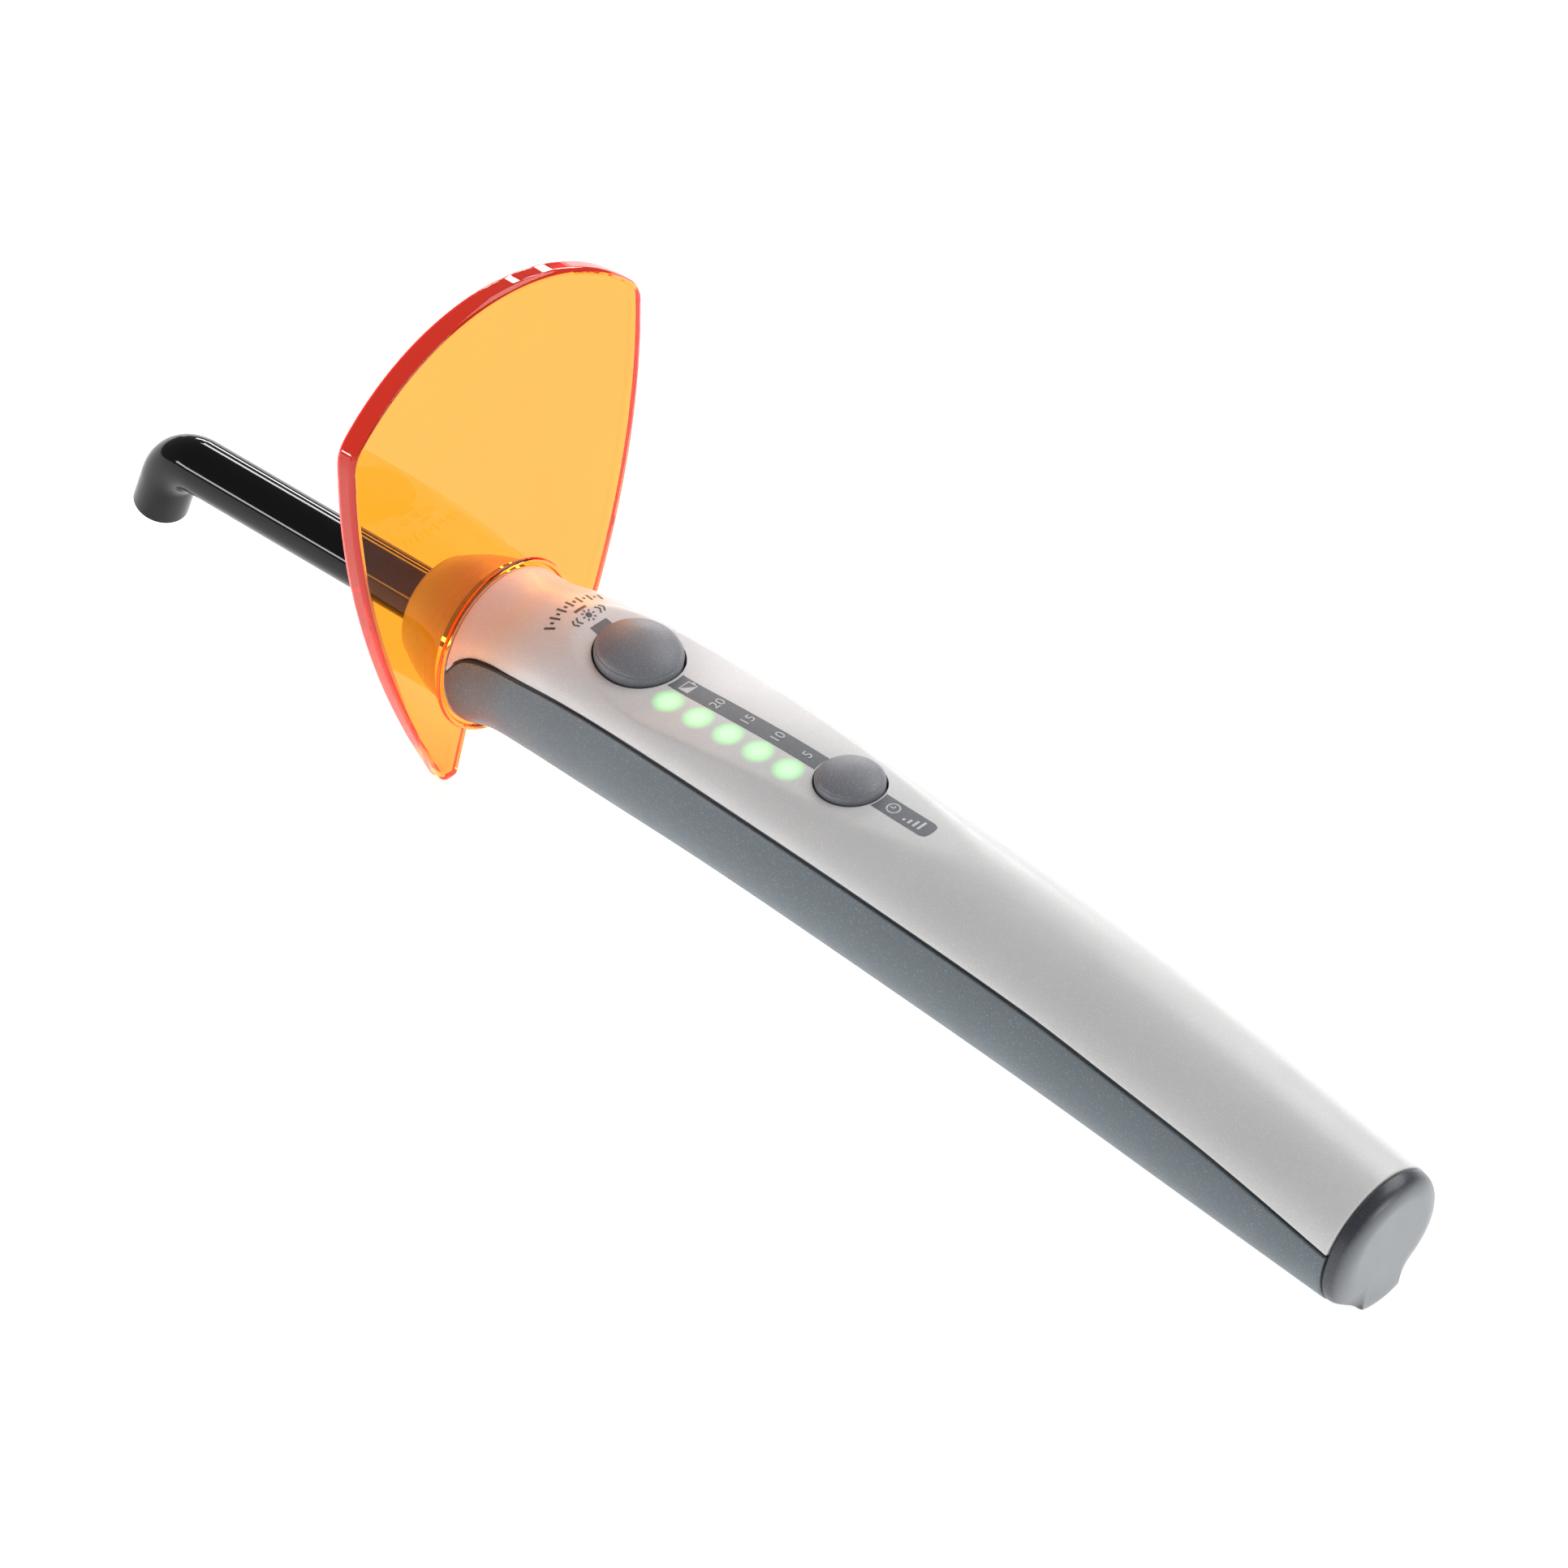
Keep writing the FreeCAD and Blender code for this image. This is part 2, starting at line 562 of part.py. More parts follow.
def make_board():
    low = BOARD_TOP_Z - BOARD_THICKNESS
    mounted = BOARD_TOP_Z + SOLDER_GAP
    board = block(BOARD_FRONT_X, BOARD_BACK_X, -BOARD_HALF_WIDTH, BOARD_HALF_WIDTH, low, BOARD_TOP_Z)
    frame_top = low - FRAME_TO_BOARD_GAP
    rails = []
    for side in (-1, 1):
        y_low, y_high = sorted((side * RAIL_INNER_Y, side * RAIL_OUTER_Y))
        rails.append(block(FRAME_FRONT_X, FRAME_BACK_X, y_low, y_high, FRAME_LOW_Z, frame_top))
    frame = rails[0].fuse(rails[1])
    for x in (FRAME_FRONT_X,) + MIDDLE_RIB_X + (FRAME_BACK_X - RIB_WIDTH,):
        frame = frame.fuse(block(x, x + RIB_WIDTH, -RAIL_INNER_Y, RAIL_INNER_Y, FRAME_LOW_Z, frame_top))
    screws = []
    for x in BOARD_SCREW_X:
        for y in (-BOARD_SCREW_Y, BOARD_SCREW_Y):
            screws.append(screw(x, y, mounted, FRAME_LOW_Z + 0.3))
            foot = Vector(x, y, 0)
            board = board.cut(Part.makeCylinder(BOARD_SCREW_CLEAR_RADIUS, BOARD_TOP_Z + 1, foot))
            frame = frame.cut(Part.makeCylinder(BOARD_SCREW_PILOT_RADIUS, BOARD_TOP_Z + 1, foot))
    shapes["control_board"] = board
    shapes["board_frame"] = frame.removeSplitter()
    shapes["board_screws"] = Part.makeCompound(screws)
    for name, x in (("start_switch", START_X), ("timer_switch", TIMER_X)):
        half = SWITCH_SIZE / 2
        body = block(x - half, x + half, -half, half, mounted, BOARD_TOP_Z + SWITCH_HEIGHT)
        plunger_base = Vector(x, 0, BOARD_TOP_Z + SWITCH_HEIGHT)
        plunger = Part.makeCylinder(PLUNGER_RADIUS, PLUNGER_TOP_Z - plunger_base.z, plunger_base)
        shapes[name] = body.fuse(plunger)
    leds = []
    pipes = []
    led_top = BOARD_TOP_Z + LED_HEIGHT
    for x in light_positions():
        led_low_y = LIGHT_Y - LED_WIDTH / 2
        led_high_y = LIGHT_Y + LED_WIDTH / 2
        leds.append(block(x - LED_LENGTH / 2, x + LED_LENGTH / 2, led_low_y, led_high_y, mounted, led_top))
        pipe_base = Vector(x, LIGHT_Y, led_top + LIGHT_PIPE_GAP)
        pipes.append(Part.makeCylinder(LIGHT_PIPE_RADIUS, pipe_top(x) - pipe_base.z, pipe_base))
    shapes["status_leds"] = Part.makeCompound(leds)
    shapes["light_pipes"] = Part.makeCompound(pipes)
    buzzer_place = Vector(BUZZER_X, 0, FRAME_LOW_Z + 0.1)
    shapes["buzzer"] = Part.makeCylinder(BUZZER_RADIUS, BUZZER_HEIGHT, buzzer_place)
    shapes["controller_chip"] = block(*CHIP_X, *CHIP_Y, mounted, BOARD_TOP_Z + CHIP_HEIGHT)


# ---- Buttons -----------------------------------------------------------------------------------

def button(x, rim_z, radius, dome, tilt_deg):
    """Domed button with a skirt through the panel, a retaining flange and a short stem."""
    flange_top = -BUTTON_SKIRT_DEPTH - BUTTON_FLANGE_GAP
    flange_low = flange_top - BUTTON_FLANGE_THICKNESS
    stem_radius = BUTTON_STEM_RADIUS
    stem_low = min(PLUNGER_TOP_Z + BUTTON_STEM_GAP + BUTTON_TRAVEL - rim_z, flange_low - 0.1)
    rim = Vector(radius, 0, 0)
    top = Vector(0, 0, dome)
    quarter_ellipse = Part.BezierCurve()
    pull = 0.552
    quarter_ellipse.setPoles([rim, Vector(radius, 0, pull * dome), Vector(pull * radius, 0, dome), top])
    flange = radius + BUTTON_FLANGE_REACH
    outline = polyline([
        top,
        Vector(0, 0, stem_low),
        Vector(stem_radius, 0, stem_low),
        Vector(stem_radius, 0, flange_low),
        Vector(flange, 0, flange_low),
        Vector(flange, 0, flange_top),
        Vector(radius, 0, flange_top),
        rim,
    ])
    wire = Part.Wire([quarter_ellipse.toShape()] + outline)
    solid = Part.Face(wire).revolve(Vector(0, 0, 0), Z_AXIS, 360)
    solid.Placement = button_placement(x, rim_z, tilt_deg)
    return solid


# ---- Battery and rear end ----------------------------------------------------------------------

def make_battery():
    cell = rod(0, CELL_LENGTH, CELL_RADIUS)
    cap = rod(-CELL_CAP_HEIGHT, 0, CELL_CAP_RADIUS)
    shapes["battery_cell"] = at_cell(cell.fuse(cap))
    contact_back = -CELL_CAP_HEIGHT - CONTACT_GAP
    contact = block(contact_back - CONTACT_THICKNESS, contact_back, -4, 4, -5, 5)
    shapes["battery_contact_front"] = at_cell(contact)
    spring_front = CELL_LENGTH + CONTACT_GAP / 2
    spring_back = spring_front + CONTACT_SPRING_LENGTH
    front_radius, back_radius = CONTACT_SPRING_RADII
    spring_place = Vector(spring_front, 0, 0)
    spring = Part.makeCone(front_radius, back_radius, CONTACT_SPRING_LENGTH, spring_place, X_AXIS)
    plate = block(spring_back, spring_back + CONTACT_THICKNESS, -5, 5, -6, 6)
    shapes["battery_contact_rear"] = at_cell(spring.fuse(plate))
    inner = CELL_RADIUS + CRADLE_CLEARANCE
    outer = inner + CRADLE_WALL
    sleeve = tube(-CRADLE_END_GAP, CELL_LENGTH + CRADLE_END_GAP + 1, outer, inner)
    trough = sleeve.common(block(-5, CELL_LENGTH + 5, -20, 20, -20, CRADLE_OPEN_Z))
    front_wall = rod(-CRADLE_END_GAP - CRADLE_WALL, -CRADLE_END_GAP, outer)
    back_wall_x = spring_back + CONTACT_THICKNESS + CONTACT_GAP / 2
    back_wall = rod(back_wall_x, back_wall_x + CRADLE_WALL, outer)
    cradle = trough.fuse(front_wall).fuse(back_wall)
    shapes["battery_cradle"] = at_cell(cradle.removeSplitter())


def make_rear_end():
    slab = at_rim(block(BULKHEAD_FRONT, BULKHEAD_BACK, -30, 30, -30, 30))
    bulkhead = handle_form(WALL + 0.1, FRONT_WALL_END_X, 205).common(slab)
    screws = []
    for y in (-BULKHEAD_SCREW_Y, BULKHEAD_SCREW_Y):
        hole = rod(BULKHEAD_FRONT - 1, BULKHEAD_BACK + 1, 1.1)
        hole.translate(Vector(0, y, 0))
        bulkhead = bulkhead.cut(at_rim(hole))
        shank = rod(BULKHEAD_FRONT - 3, BULKHEAD_BACK + 0.02, 0.95)
        body = shank.fuse(rod(BULKHEAD_BACK + 0.02, BULKHEAD_BACK + 1.0, 1.7))
        body.translate(Vector(0, y, 0))
        screws.append(at_rim(body))
    shapes["end_bulkhead"] = bulkhead
    shapes["bulkhead_screws"] = Part.makeCompound(screws)
    shapes["charging_socket"] = at_rim(charging_port())


def charging_port():
    """Flat rectangular charging port with rounded sides and a contact blade."""
    width = PORT_HALF_WIDTH + PORT_WALL
    height = PORT_HALF_HEIGHT + PORT_WALL
    body = block(BULKHEAD_BACK + 0.02, PORT_MOUTH, -width, width, -height, height)
    body = body.makeFillet(PORT_CORNER_RADIUS, edges_along_x(body, lambda y, z: True))
    mouth = block(
        PORT_FLOOR, PORT_MOUTH + 1, -PORT_HALF_WIDTH, PORT_HALF_WIDTH, -PORT_HALF_HEIGHT, PORT_HALF_HEIGHT)
    mouth = mouth.makeFillet(PORT_CORNER_RADIUS, edges_along_x(mouth, lambda y, z: True))
    half = PORT_BLADE_HALF_WIDTH
    thin = PORT_BLADE_HALF_THICKNESS
    blade = block(PORT_FLOOR - 0.3, PORT_BLADE_END, -half, half, -thin, thin)
    return body.cut(mouth).fuse(blade)


def cap_form():
    """Rounded cap about the X axis: rim at CAP_GAP, flat end face, and the tongue at the bottom."""
    front = CAP_GAP
    back = CAP_GAP + CAP_DEPTH
    flat = CAP_RADIUS - CAP_ROUND
    shoulder = Vector(back - CAP_ROUND, 0, CAP_RADIUS)
    face_edge = Vector(back, 0, flat)
    reach = CAP_ROUND * math.sqrt(0.5)
    round_mid = Vector(back - CAP_ROUND + reach, 0, flat + reach)
    edges = [Part.Arc(shoulder, round_mid, face_edge).toShape()]
    rim = Vector(front, 0, CAP_RADIUS)
    edges += polyline([face_edge, Vector(back, 0, 0), Vector(front, 0, 0), rim, shoulder])
    dome = revolve_about_x(edges)
    tongue = block(front, back, -TONGUE_HALF_WIDTH, TONGUE_HALF_WIDTH, -TONGUE_REACH, -4)
    tongue_ends = []
    for edge in tongue.Edges:
        box = edge.BoundBox
        if abs(box.ZMax + TONGUE_REACH) < 0.01 and box.XMin > back - 0.1:
            tongue_ends.append(edge)
    return dome.fuse(tongue.makeFillet(TONGUE_END_RADIUS, tongue_ends))


def make_rear_cap():
    form = cap_form()
    for side in (-1, 1):
        y = side * (TONGUE_HALF_WIDTH + SCOOP_RADIUS)
        foot = Vector(CAP_GAP + CAP_DEPTH + SCOOP_SETBACK, y, -20)
        scoop = Part.makeCylinder(SCOOP_RADIUS, SCOOP_LENGTH, foot, Z_AXIS)
        end = Part.makeSphere(SCOOP_RADIUS, foot + Vector(0, 0, SCOOP_LENGTH))
        form = form.cut(scoop.fuse(end))
    ring_radius = SPIGOT_RADIUS - SEAL_SINK
    seal_place = Vector(SEAL_X, 0, 0)
    spigot = tube(-SPIGOT_LENGTH, CAP_GAP, SPIGOT_RADIUS, SPIGOT_RADIUS - SPIGOT_WALL)
    seat = Part.makeTorus(ring_radius, SEAL_SECTION_RADIUS + 0.02, seal_place, X_AXIS)
    shapes["rear_cap"] = at_rim(form.fuse(spigot.cut(seat)).removeSplitter())
    shapes["cap_seal"] = at_rim(Part.makeTorus(ring_radius, SEAL_SECTION_RADIUS, seal_place, X_AXIS))


# ---- Assembly ----------------------------------------------------------------------------------

make_shells()
make_nose()
make_shield()
make_light_guide()
make_light_engine()
make_board()
shapes["start_button"] = button(START_X, START_RIM_Z, START_RADIUS, START_DOME, START_TILT_DEG)
shapes["timer_button"] = button(TIMER_X, TIMER_RIM_Z, TIMER_RADIUS, TIMER_DOME, 0)
make_battery()
make_rear_end()
make_rear_cap()

# The rest pitch levels the shield's feet with the bottom of the handle's rear rim.
rear_bottom_x = RIM_X - 2.0
rear_bottom_z = centre_z(rear_bottom_x) - handle_radius(rear_bottom_x)
pitch_deg = -math.degrees(math.atan2(SHIELD_FOOT_Z - rear_bottom_z, rear_bottom_x))
for shape in shapes.values():
    shape.rotate(Vector(0, 0, 0), Y_AXIS, pitch_deg)

boxes = [shape.optimalBoundingBox(False, False) for shape in shapes.values()]
middle_x = (min(b.XMin for b in boxes) + max(b.XMax for b in boxes)) / 2
lowest_z = min(b.ZMin for b in boxes)
for name, shape in shapes.items():
    shape.translate(Vector(-middle_x, 0, -lowest_z))
    shape.exportStep("parts/" + name + ".step")

print("pitch_deg %.4f shift_x %.4f shift_z %.4f" % (pitch_deg, -middle_x, -lowest_z))
for name, shape in shapes.items():
    facts = (name, len(shape.Solids), shape.Volume, shape.isValid())
    print("%-24s solids %d volume %9.1f valid %s" % facts)
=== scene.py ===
"""Looks of the curing light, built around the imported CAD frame."""

import contextlib
import json
import math

import bmesh
import bpy
from mathutils import Matrix, Vector


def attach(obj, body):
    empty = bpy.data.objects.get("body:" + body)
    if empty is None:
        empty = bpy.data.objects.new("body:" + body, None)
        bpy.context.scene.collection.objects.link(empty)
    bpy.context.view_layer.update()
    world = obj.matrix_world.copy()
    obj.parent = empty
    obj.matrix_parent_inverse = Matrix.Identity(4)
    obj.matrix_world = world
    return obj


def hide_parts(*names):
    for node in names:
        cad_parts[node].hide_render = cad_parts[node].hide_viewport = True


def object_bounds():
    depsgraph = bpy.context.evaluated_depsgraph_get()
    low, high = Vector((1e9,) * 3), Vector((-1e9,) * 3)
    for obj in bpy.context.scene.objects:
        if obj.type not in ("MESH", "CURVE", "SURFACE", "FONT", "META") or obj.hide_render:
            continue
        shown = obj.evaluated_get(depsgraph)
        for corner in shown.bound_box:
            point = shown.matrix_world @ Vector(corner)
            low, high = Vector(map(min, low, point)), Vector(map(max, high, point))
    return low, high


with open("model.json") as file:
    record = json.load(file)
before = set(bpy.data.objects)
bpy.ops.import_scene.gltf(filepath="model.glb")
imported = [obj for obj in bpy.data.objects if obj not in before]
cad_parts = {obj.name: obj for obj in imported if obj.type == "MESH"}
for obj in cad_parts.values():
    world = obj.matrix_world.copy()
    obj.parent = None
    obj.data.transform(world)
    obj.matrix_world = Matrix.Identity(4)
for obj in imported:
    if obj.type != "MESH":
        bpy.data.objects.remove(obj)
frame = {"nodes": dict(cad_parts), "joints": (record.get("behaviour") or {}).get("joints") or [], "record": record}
CAD_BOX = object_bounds()

MM = 0.001
JOINTS = {joint["name"]: joint for joint in frame["joints"]}

# ---- Working frame -------------------------------------------------------------------------------
# Lengths below are in mm, in the frame that the handle is designed in: the origin is on the optical
# axis at the eye shield's hub, X runs back along the handle, Y to its right-hand side and Z up.

HUB_POINT_X = -0.5
AXIS_X = Vector(JOINTS["shield_swivel"]["axis"]).normalized()
AXIS_Y = Vector((0, 1, 0))
AXIS_Z = AXIS_X.cross(AXIS_Y)
ORIGIN = Vector(JOINTS["shield_swivel"]["pos_m"]) - AXIS_X * HUB_POINT_X * MM
RIM_AXIS = Vector(JOINTS["cap_pull"]["axis"]).normalized()


def at(point):
    """A point of the working frame, in metres in the row frame."""
    x, y, z = point
    return ORIGIN + (AXIS_X * x + AXIS_Y * y + AXIS_Z * z) * MM


# ---- Driving dimensions (mm) ---------------------------------------------------------------------

# Handle: centre height and radius of its round section at stations along X.
HANDLE_STATIONS = (
    (2.0, 0.1, 14.45),
    (8.0, 0.9, 13.8),
    (16.0, 1.9, 14.4),
    (30.0, 2.3, 15.05),
    (60.0, 1.4, 15.35),
    (95.0, -1.5, 15.25),
    (130.0, -5.4, 14.85),
    (160.0, -10.0, 14.15),
    (196.0, -16.3, 12.8),
)
SHELL_FRONT_X = 2.0
WALL = 2.0
EDGE_ROUND = 0.35

# Parting line between the shells, seen from the side: X and Z.
SPLIT_LINE = (
    (1.0, 0.5),
    (4.5, 5.2),
    (9.5, 6.9),
    (17.0, 7.9),
    (28.0, 8.8),
    (44.0, 8.7),
    (67.0, 7.5),
    (97.0, 5.0),
    (129.0, 1.4),
    (150.0, -2.3),
    (171.0, -6.7),
    (199.0, -14.2),
)
SEAM_WIDTH = 0.4

# Crest of the flattened panel on top: X and Z.
PANEL_LINE = (
    (13.0, 19.8),
    (22.0, 16.4),
    (33.0, 14.25),
    (42.0, 13.4),
    (54.0, 13.7),
    (66.0, 13.9),
    (80.0, 13.5),
    (93.0, 12.95),
    (106.0, 12.5),
    (118.0, 12.2),
)
PANEL_CROWN_RADIUS = 61.0
PANEL_EDGE_BLEND = 0.35

# Rear rim: its centre, its lean, and where the sections start to lean with it.
RIM_X = 193.4
RIM_Z = -16.0
RIM_TILT = math.radians(8.5)
RIM_SHEAR_START_X = 150.0

# Buttons: centre of the rim on the panel, radius, height of the dome and tilt to the rear.
BUTTON_HOLE_GAP = 0.3
START = {"x": 33.1, "rim_z": 14.35, "radius": 7.65, "dome": 3.8, "tilt": math.radians(7.0)}
TIMER = {"x": 80.5, "rim_z": 13.65, "radius": 5.95, "dome": 2.35, "tilt": 0.0}

# Status lights under the upper shell's skin.
LIGHT_FIRST_X = 44.2
LIGHT_PITCH = 6.72
LIGHT_COUNT = 5
LIGHT_Y = -4.7
LIGHT_RADIUS = 2.55


# ---- Form of the handle --------------------------------------------------------------------------

NO_PANEL = 99.0  # reach below the section's centre, where the panel never cuts
TINY = 1e-6
LEAN_PASSES = 3
PANEL_TOP = 20.0  # more than any reach of the panel
PANEL_HALVINGS = 24


def smooth_value(x, points):
    """Value at x of a smooth curve through (x, value) points."""
    last = len(points) - 2
    i = max(0, min(last, sum(1 for p in points[1:-1] if x > p[0])))
    x0, v0 = points[i]
    x1, v1 = points[i + 1]

    def slope(k):
        low = max(0, k - 1)
        high = min(len(points) - 1, k + 1)
        return (points[high][1] - points[low][1]) / (points[high][0] - points[low][0])

    span = x1 - x0
    t = (x - x0) / span
    rise = v0 * (1 + 2 * t) * (1 - t) ** 2 + v1 * t * t * (3 - 2 * t)
    lean = slope(i) * t * (1 - t) ** 2 - slope(i + 1) * t * t * (1 - t)
    return rise + span * lean


def centre_z(x):
    return smooth_value(x, [(s[0], s[1]) for s in HANDLE_STATIONS])


def handle_radius(x):
    return smooth_value(x, [(s[0], s[2]) for s in HANDLE_STATIONS])


def split_z(x):
    return smooth_value(x, SPLIT_LINE)


def soft_min(a, b, blend):
    """The smaller of two lengths, with a rounded change-over."""
    h = max(0.0, min(1.0, 0.5 + 0.5 * (b - a) / blend))
    return b + (a - b) * h - blend * h * (1 - h)


def panel_reach(x, angle, drop):
    """Distance from the section's centre to the panel's crowned surface, at an angle above +Y."""
    rise = smooth_value(x, PANEL_LINE) - drop - centre_z(x)
    bend = math.cos(angle) ** 2 / (2 * PANEL_CROWN_RADIUS)
    lift = math.sin(angle)
    if lift <= 0:
        return NO_PANEL
    if bend < TINY:
        return rise / lift
    return (math.sqrt(lift * lift + 4 * bend * rise) - lift) / (2 * bend)


def shell_reach(x, angle, inset):
    """Distance from the section's centre to the shell's outer surface drawn in by inset."""
    circle = handle_radius(x) - inset
    if PANEL_LINE[0][0] < x < PANEL_LINE[-1][0]:
        return soft_min(circle, panel_reach(x, angle, inset), PANEL_EDGE_BLEND)
    return circle


def shell_point(x, angle, inset=0.0):
    """Point on the handle; near the rear the sections lean until they lie in the rim's plane."""
    lean = max(0.0, min(1.0, (x - RIM_SHEAR_START_X) / (RIM_X - RIM_SHEAR_START_X)))
    level = centre_z(x) - lean * (centre_z(RIM_X) - RIM_Z)
    place_x = x
    for _ in range(LEAN_PASSES if lean else 1):
        reach = shell_reach(place_x, angle, inset)
        z = centre_z(place_x) + reach * math.sin(angle)
        place_x = x + lean * math.tan(RIM_TILT) * (z - level)
    return (place_x, reach * math.cos(angle), z)


def split_angle(x, shift):
    """Angle of the parting line above +Y at x, moved up by shift."""
    ratio = (split_z(x) + shift - centre_z(x)) / handle_radius(x)
    return math.asin(max(-1.0, min(1.0, ratio)))


def panel_height(x, y):
    """Z of the handle's visible top surface over (x, y)."""
    low, high = 0.0, PANEL_TOP
    for _ in range(PANEL_HALVINGS):
        z = (low + high) / 2
        if math.hypot(y, z) < shell_reach(x, math.atan2(z, y), 0.0):
            low = z
        else:
            high = z
    return centre_z(x) + (low + high) / 2


# ---- Mesh helpers --------------------------------------------------------------------------------

SMOOTH_ANGLE = math.radians(32)
MERGE_DISTANCE = 1e-7


@contextlib.contextmanager
def editing(mesh):
    """The mesh opened for editing, and written back at the end."""
    work = bmesh.new()
    work.from_mesh(mesh)
    yield work
    work.to_mesh(mesh)
    work.free()


def new_object(name, data):
    obj = bpy.data.objects.new(name, data)
    bpy.context.scene.collection.objects.link(obj)
    return obj


def evaluated_mesh(obj):
    """The object's mesh with its modifiers or its text applied."""
    graph = bpy.context.evaluated_depsgraph_get()
    return bpy.data.meshes.new_from_object(obj.evaluated_get(graph))


def shade_by_angle(mesh):
    """Smooth shading with hard edges where faces meet at more than the smoothing angle."""
    for polygon in mesh.polygons:
        polygon.use_smooth = True
    with editing(mesh) as work:
        for edge in work.edges:
            edge.smooth = not (edge.is_manifold and edge.calc_face_angle(0) > SMOOTH_ANGLE)


def finish_piece(name, mesh, body, material):
    """Visible piece from a mesh in the row frame, shaded and riding on a CAD body."""
    with editing(mesh) as work:
        bmesh.ops.remove_doubles(work, verts=work.verts, dist=MERGE_DISTANCE)
        bmesh.ops.recalc_face_normals(work, faces=work.faces)
    mesh.validate()
    obj = new_object(name, mesh)
    mesh.materials.append(material)
    shade_by_angle(mesh)
    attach(obj, body)
    return obj


def add_piece(name, points, faces, body, material):
    """Visible piece from working-frame points."""
    mesh = bpy.data.meshes.new(name)
    mesh.from_pydata([at(p) for p in points], [], faces)
    return finish_piece(name, mesh, body, material)


def turns(count):
    """Evenly spaced angles round a full circle."""
    return [2 * math.pi * i / count for i in range(count)]


def ring_faces(ring_count, ring_size, cap_ends=True):
    """Quads between successive closed rings; ring k's points start at k * ring_size."""
    faces = []
    for k in range(ring_count - 1):
        a = k * ring_size
        b = a + ring_size
        for i in range(ring_size):
            j = (i + 1) % ring_size
            faces.append((a + i, a + j, b + j, b + i))
    if cap_ends:
        last = (ring_count - 1) * ring_size
        faces.append(tuple(range(ring_size)))
        faces.append(tuple(range(last + ring_size - 1, last - 1, -1)))
    return faces


def add_turned_piece(name, rings, body, material):
    """Visible piece skinned over rings of working-frame points, closed at both ends."""
    points = [p for ring in rings for p in ring]
    return add_piece(name, points, ring_faces(len(rings), len(rings[0])), body, material)


def carve(obj, cutters):
    """Cuts the cutters out of the object and leaves the result as its mesh."""
    for cutter in cutters:
        cut = obj.modifiers.new("cut", "BOOLEAN")
        cut.operation = "DIFFERENCE"
        cut.solver = "EXACT"
        cut.object = cutter
    mesh = evaluated_mesh(obj)
    obj.modifiers.clear()
    obj.data = mesh
    shade_by_angle(mesh)
    for cutter in cutters:
        bpy.data.objects.remove(cutter)


# ---- Material helpers ----------------------------------------------------------------------------
# Texture scales are per metre, and bump distances are in metres.

NOISE_SPAN = (0.3, 0.7)  # what a noise texture's output mostly stays within
FULL = (0.0, 1.0)


def fill(tree, target, inputs):
    """Sets a node's inputs: each gets another node's output, a colour, a vector or a number."""
    for key, value in inputs.items():
        socket = target.inputs[key]
        if isinstance(value, bpy.types.NodeSocket):
            tree.links.new(value, socket)
        elif socket.type == "RGBA":
            socket.default_value = (*value, 1.0)
        else:
            socket.default_value = value


def node(tree, kind, inputs=None, **settings):
    """New node with its inputs, by name or number, and its settings."""
    made = tree.nodes.new(kind)
    for key, value in settings.items():
        setattr(made, key, value)
    fill(tree, made, inputs or {})
    return made


def new_material(name):
    material = bpy.data.materials.new(name)
    material.use_nodes = True
    tree = material.node_tree
    tree.nodes.clear()
    output = node(tree, "ShaderNodeOutputMaterial")
    shader = node(tree, "ShaderNodeBsdfPrincipled")
    fill(tree, output, {"Surface": shader.outputs["BSDF"]})
    return material, tree, shader, output


def coordinates(tree, kind="Object"):
    return node(tree, "ShaderNodeTexCoord").outputs[kind]


def noise(tree, scale, detail):
    inputs = {"Vector": coordinates(tree), "Scale": scale, "Detail": detail}
    return node(tree, "ShaderNodeTexNoise", inputs).outputs["Fac"]


def flakes(tree, scale):
    """Random value per small cell: the flakes in a pearl or sparkle finish."""
    inputs = {"Vector": coordinates(tree), "Scale": scale}
    cells = node(tree, "ShaderNodeTexVoronoi", inputs, feature="F1")
    split = node(tree, "ShaderNodeSeparateColor", {"Color": cells.outputs["Color"]})
    return split.outputs["Red"]


def remap(tree, value, span, target):
    """The value's span stretched to the target range, and clamped to it."""
    inputs = {
        "Value": value,
        "From Min": span[0],
        "From Max": span[1],
        "To Min": target[0],
        "To Max": target[1],
    }
    return node(tree, "ShaderNodeMapRange", inputs, clamp=True).outputs["Result"]


def mottle(tree, scale, detail, target=FULL, span=NOISE_SPAN):
    """Soft noise that wanders over the target range."""
    return remap(tree, noise(tree, scale, detail), span, target)


def mix_colors(tree, factor, first, second):
    made = node(tree, "ShaderNodeMix", {"Factor": factor}, data_type="RGBA")
    colors = [i for i, socket in enumerate(made.inputs) if socket.type == "RGBA"]
    fill(tree, made, dict(zip(colors, (first, second))))
    return next(s for s in made.outputs if s.type == "RGBA")


def math_node(tree, operation, first, *second):
    inputs = dict(enumerate((first, *second)))
    return node(tree, "ShaderNodeMath", inputs, operation=operation).outputs["Value"]


def vector_node(tree, operation, first, *second):
    inputs = dict(enumerate((first, *second)))
    return node(tree, "ShaderNodeVectorMath", inputs, operation=operation).outputs


def bump(tree, height, strength, distance):
    inputs = {"Height": height, "Strength": strength, "Distance": distance}
    return node(tree, "ShaderNodeBump", inputs).outputs["Normal"]


def facing(tree, axis):
    """How far the surface faces along the axis: 1 when squarely, 0 when edge on."""
    return vector_node(tree, "DOT_PRODUCT", coordinates(tree, "Normal"), axis)["Value"]


def scaled(color, share):
    return tuple(c * share for c in color)


# ---- Materials -----------------------------------------------------------------------------------

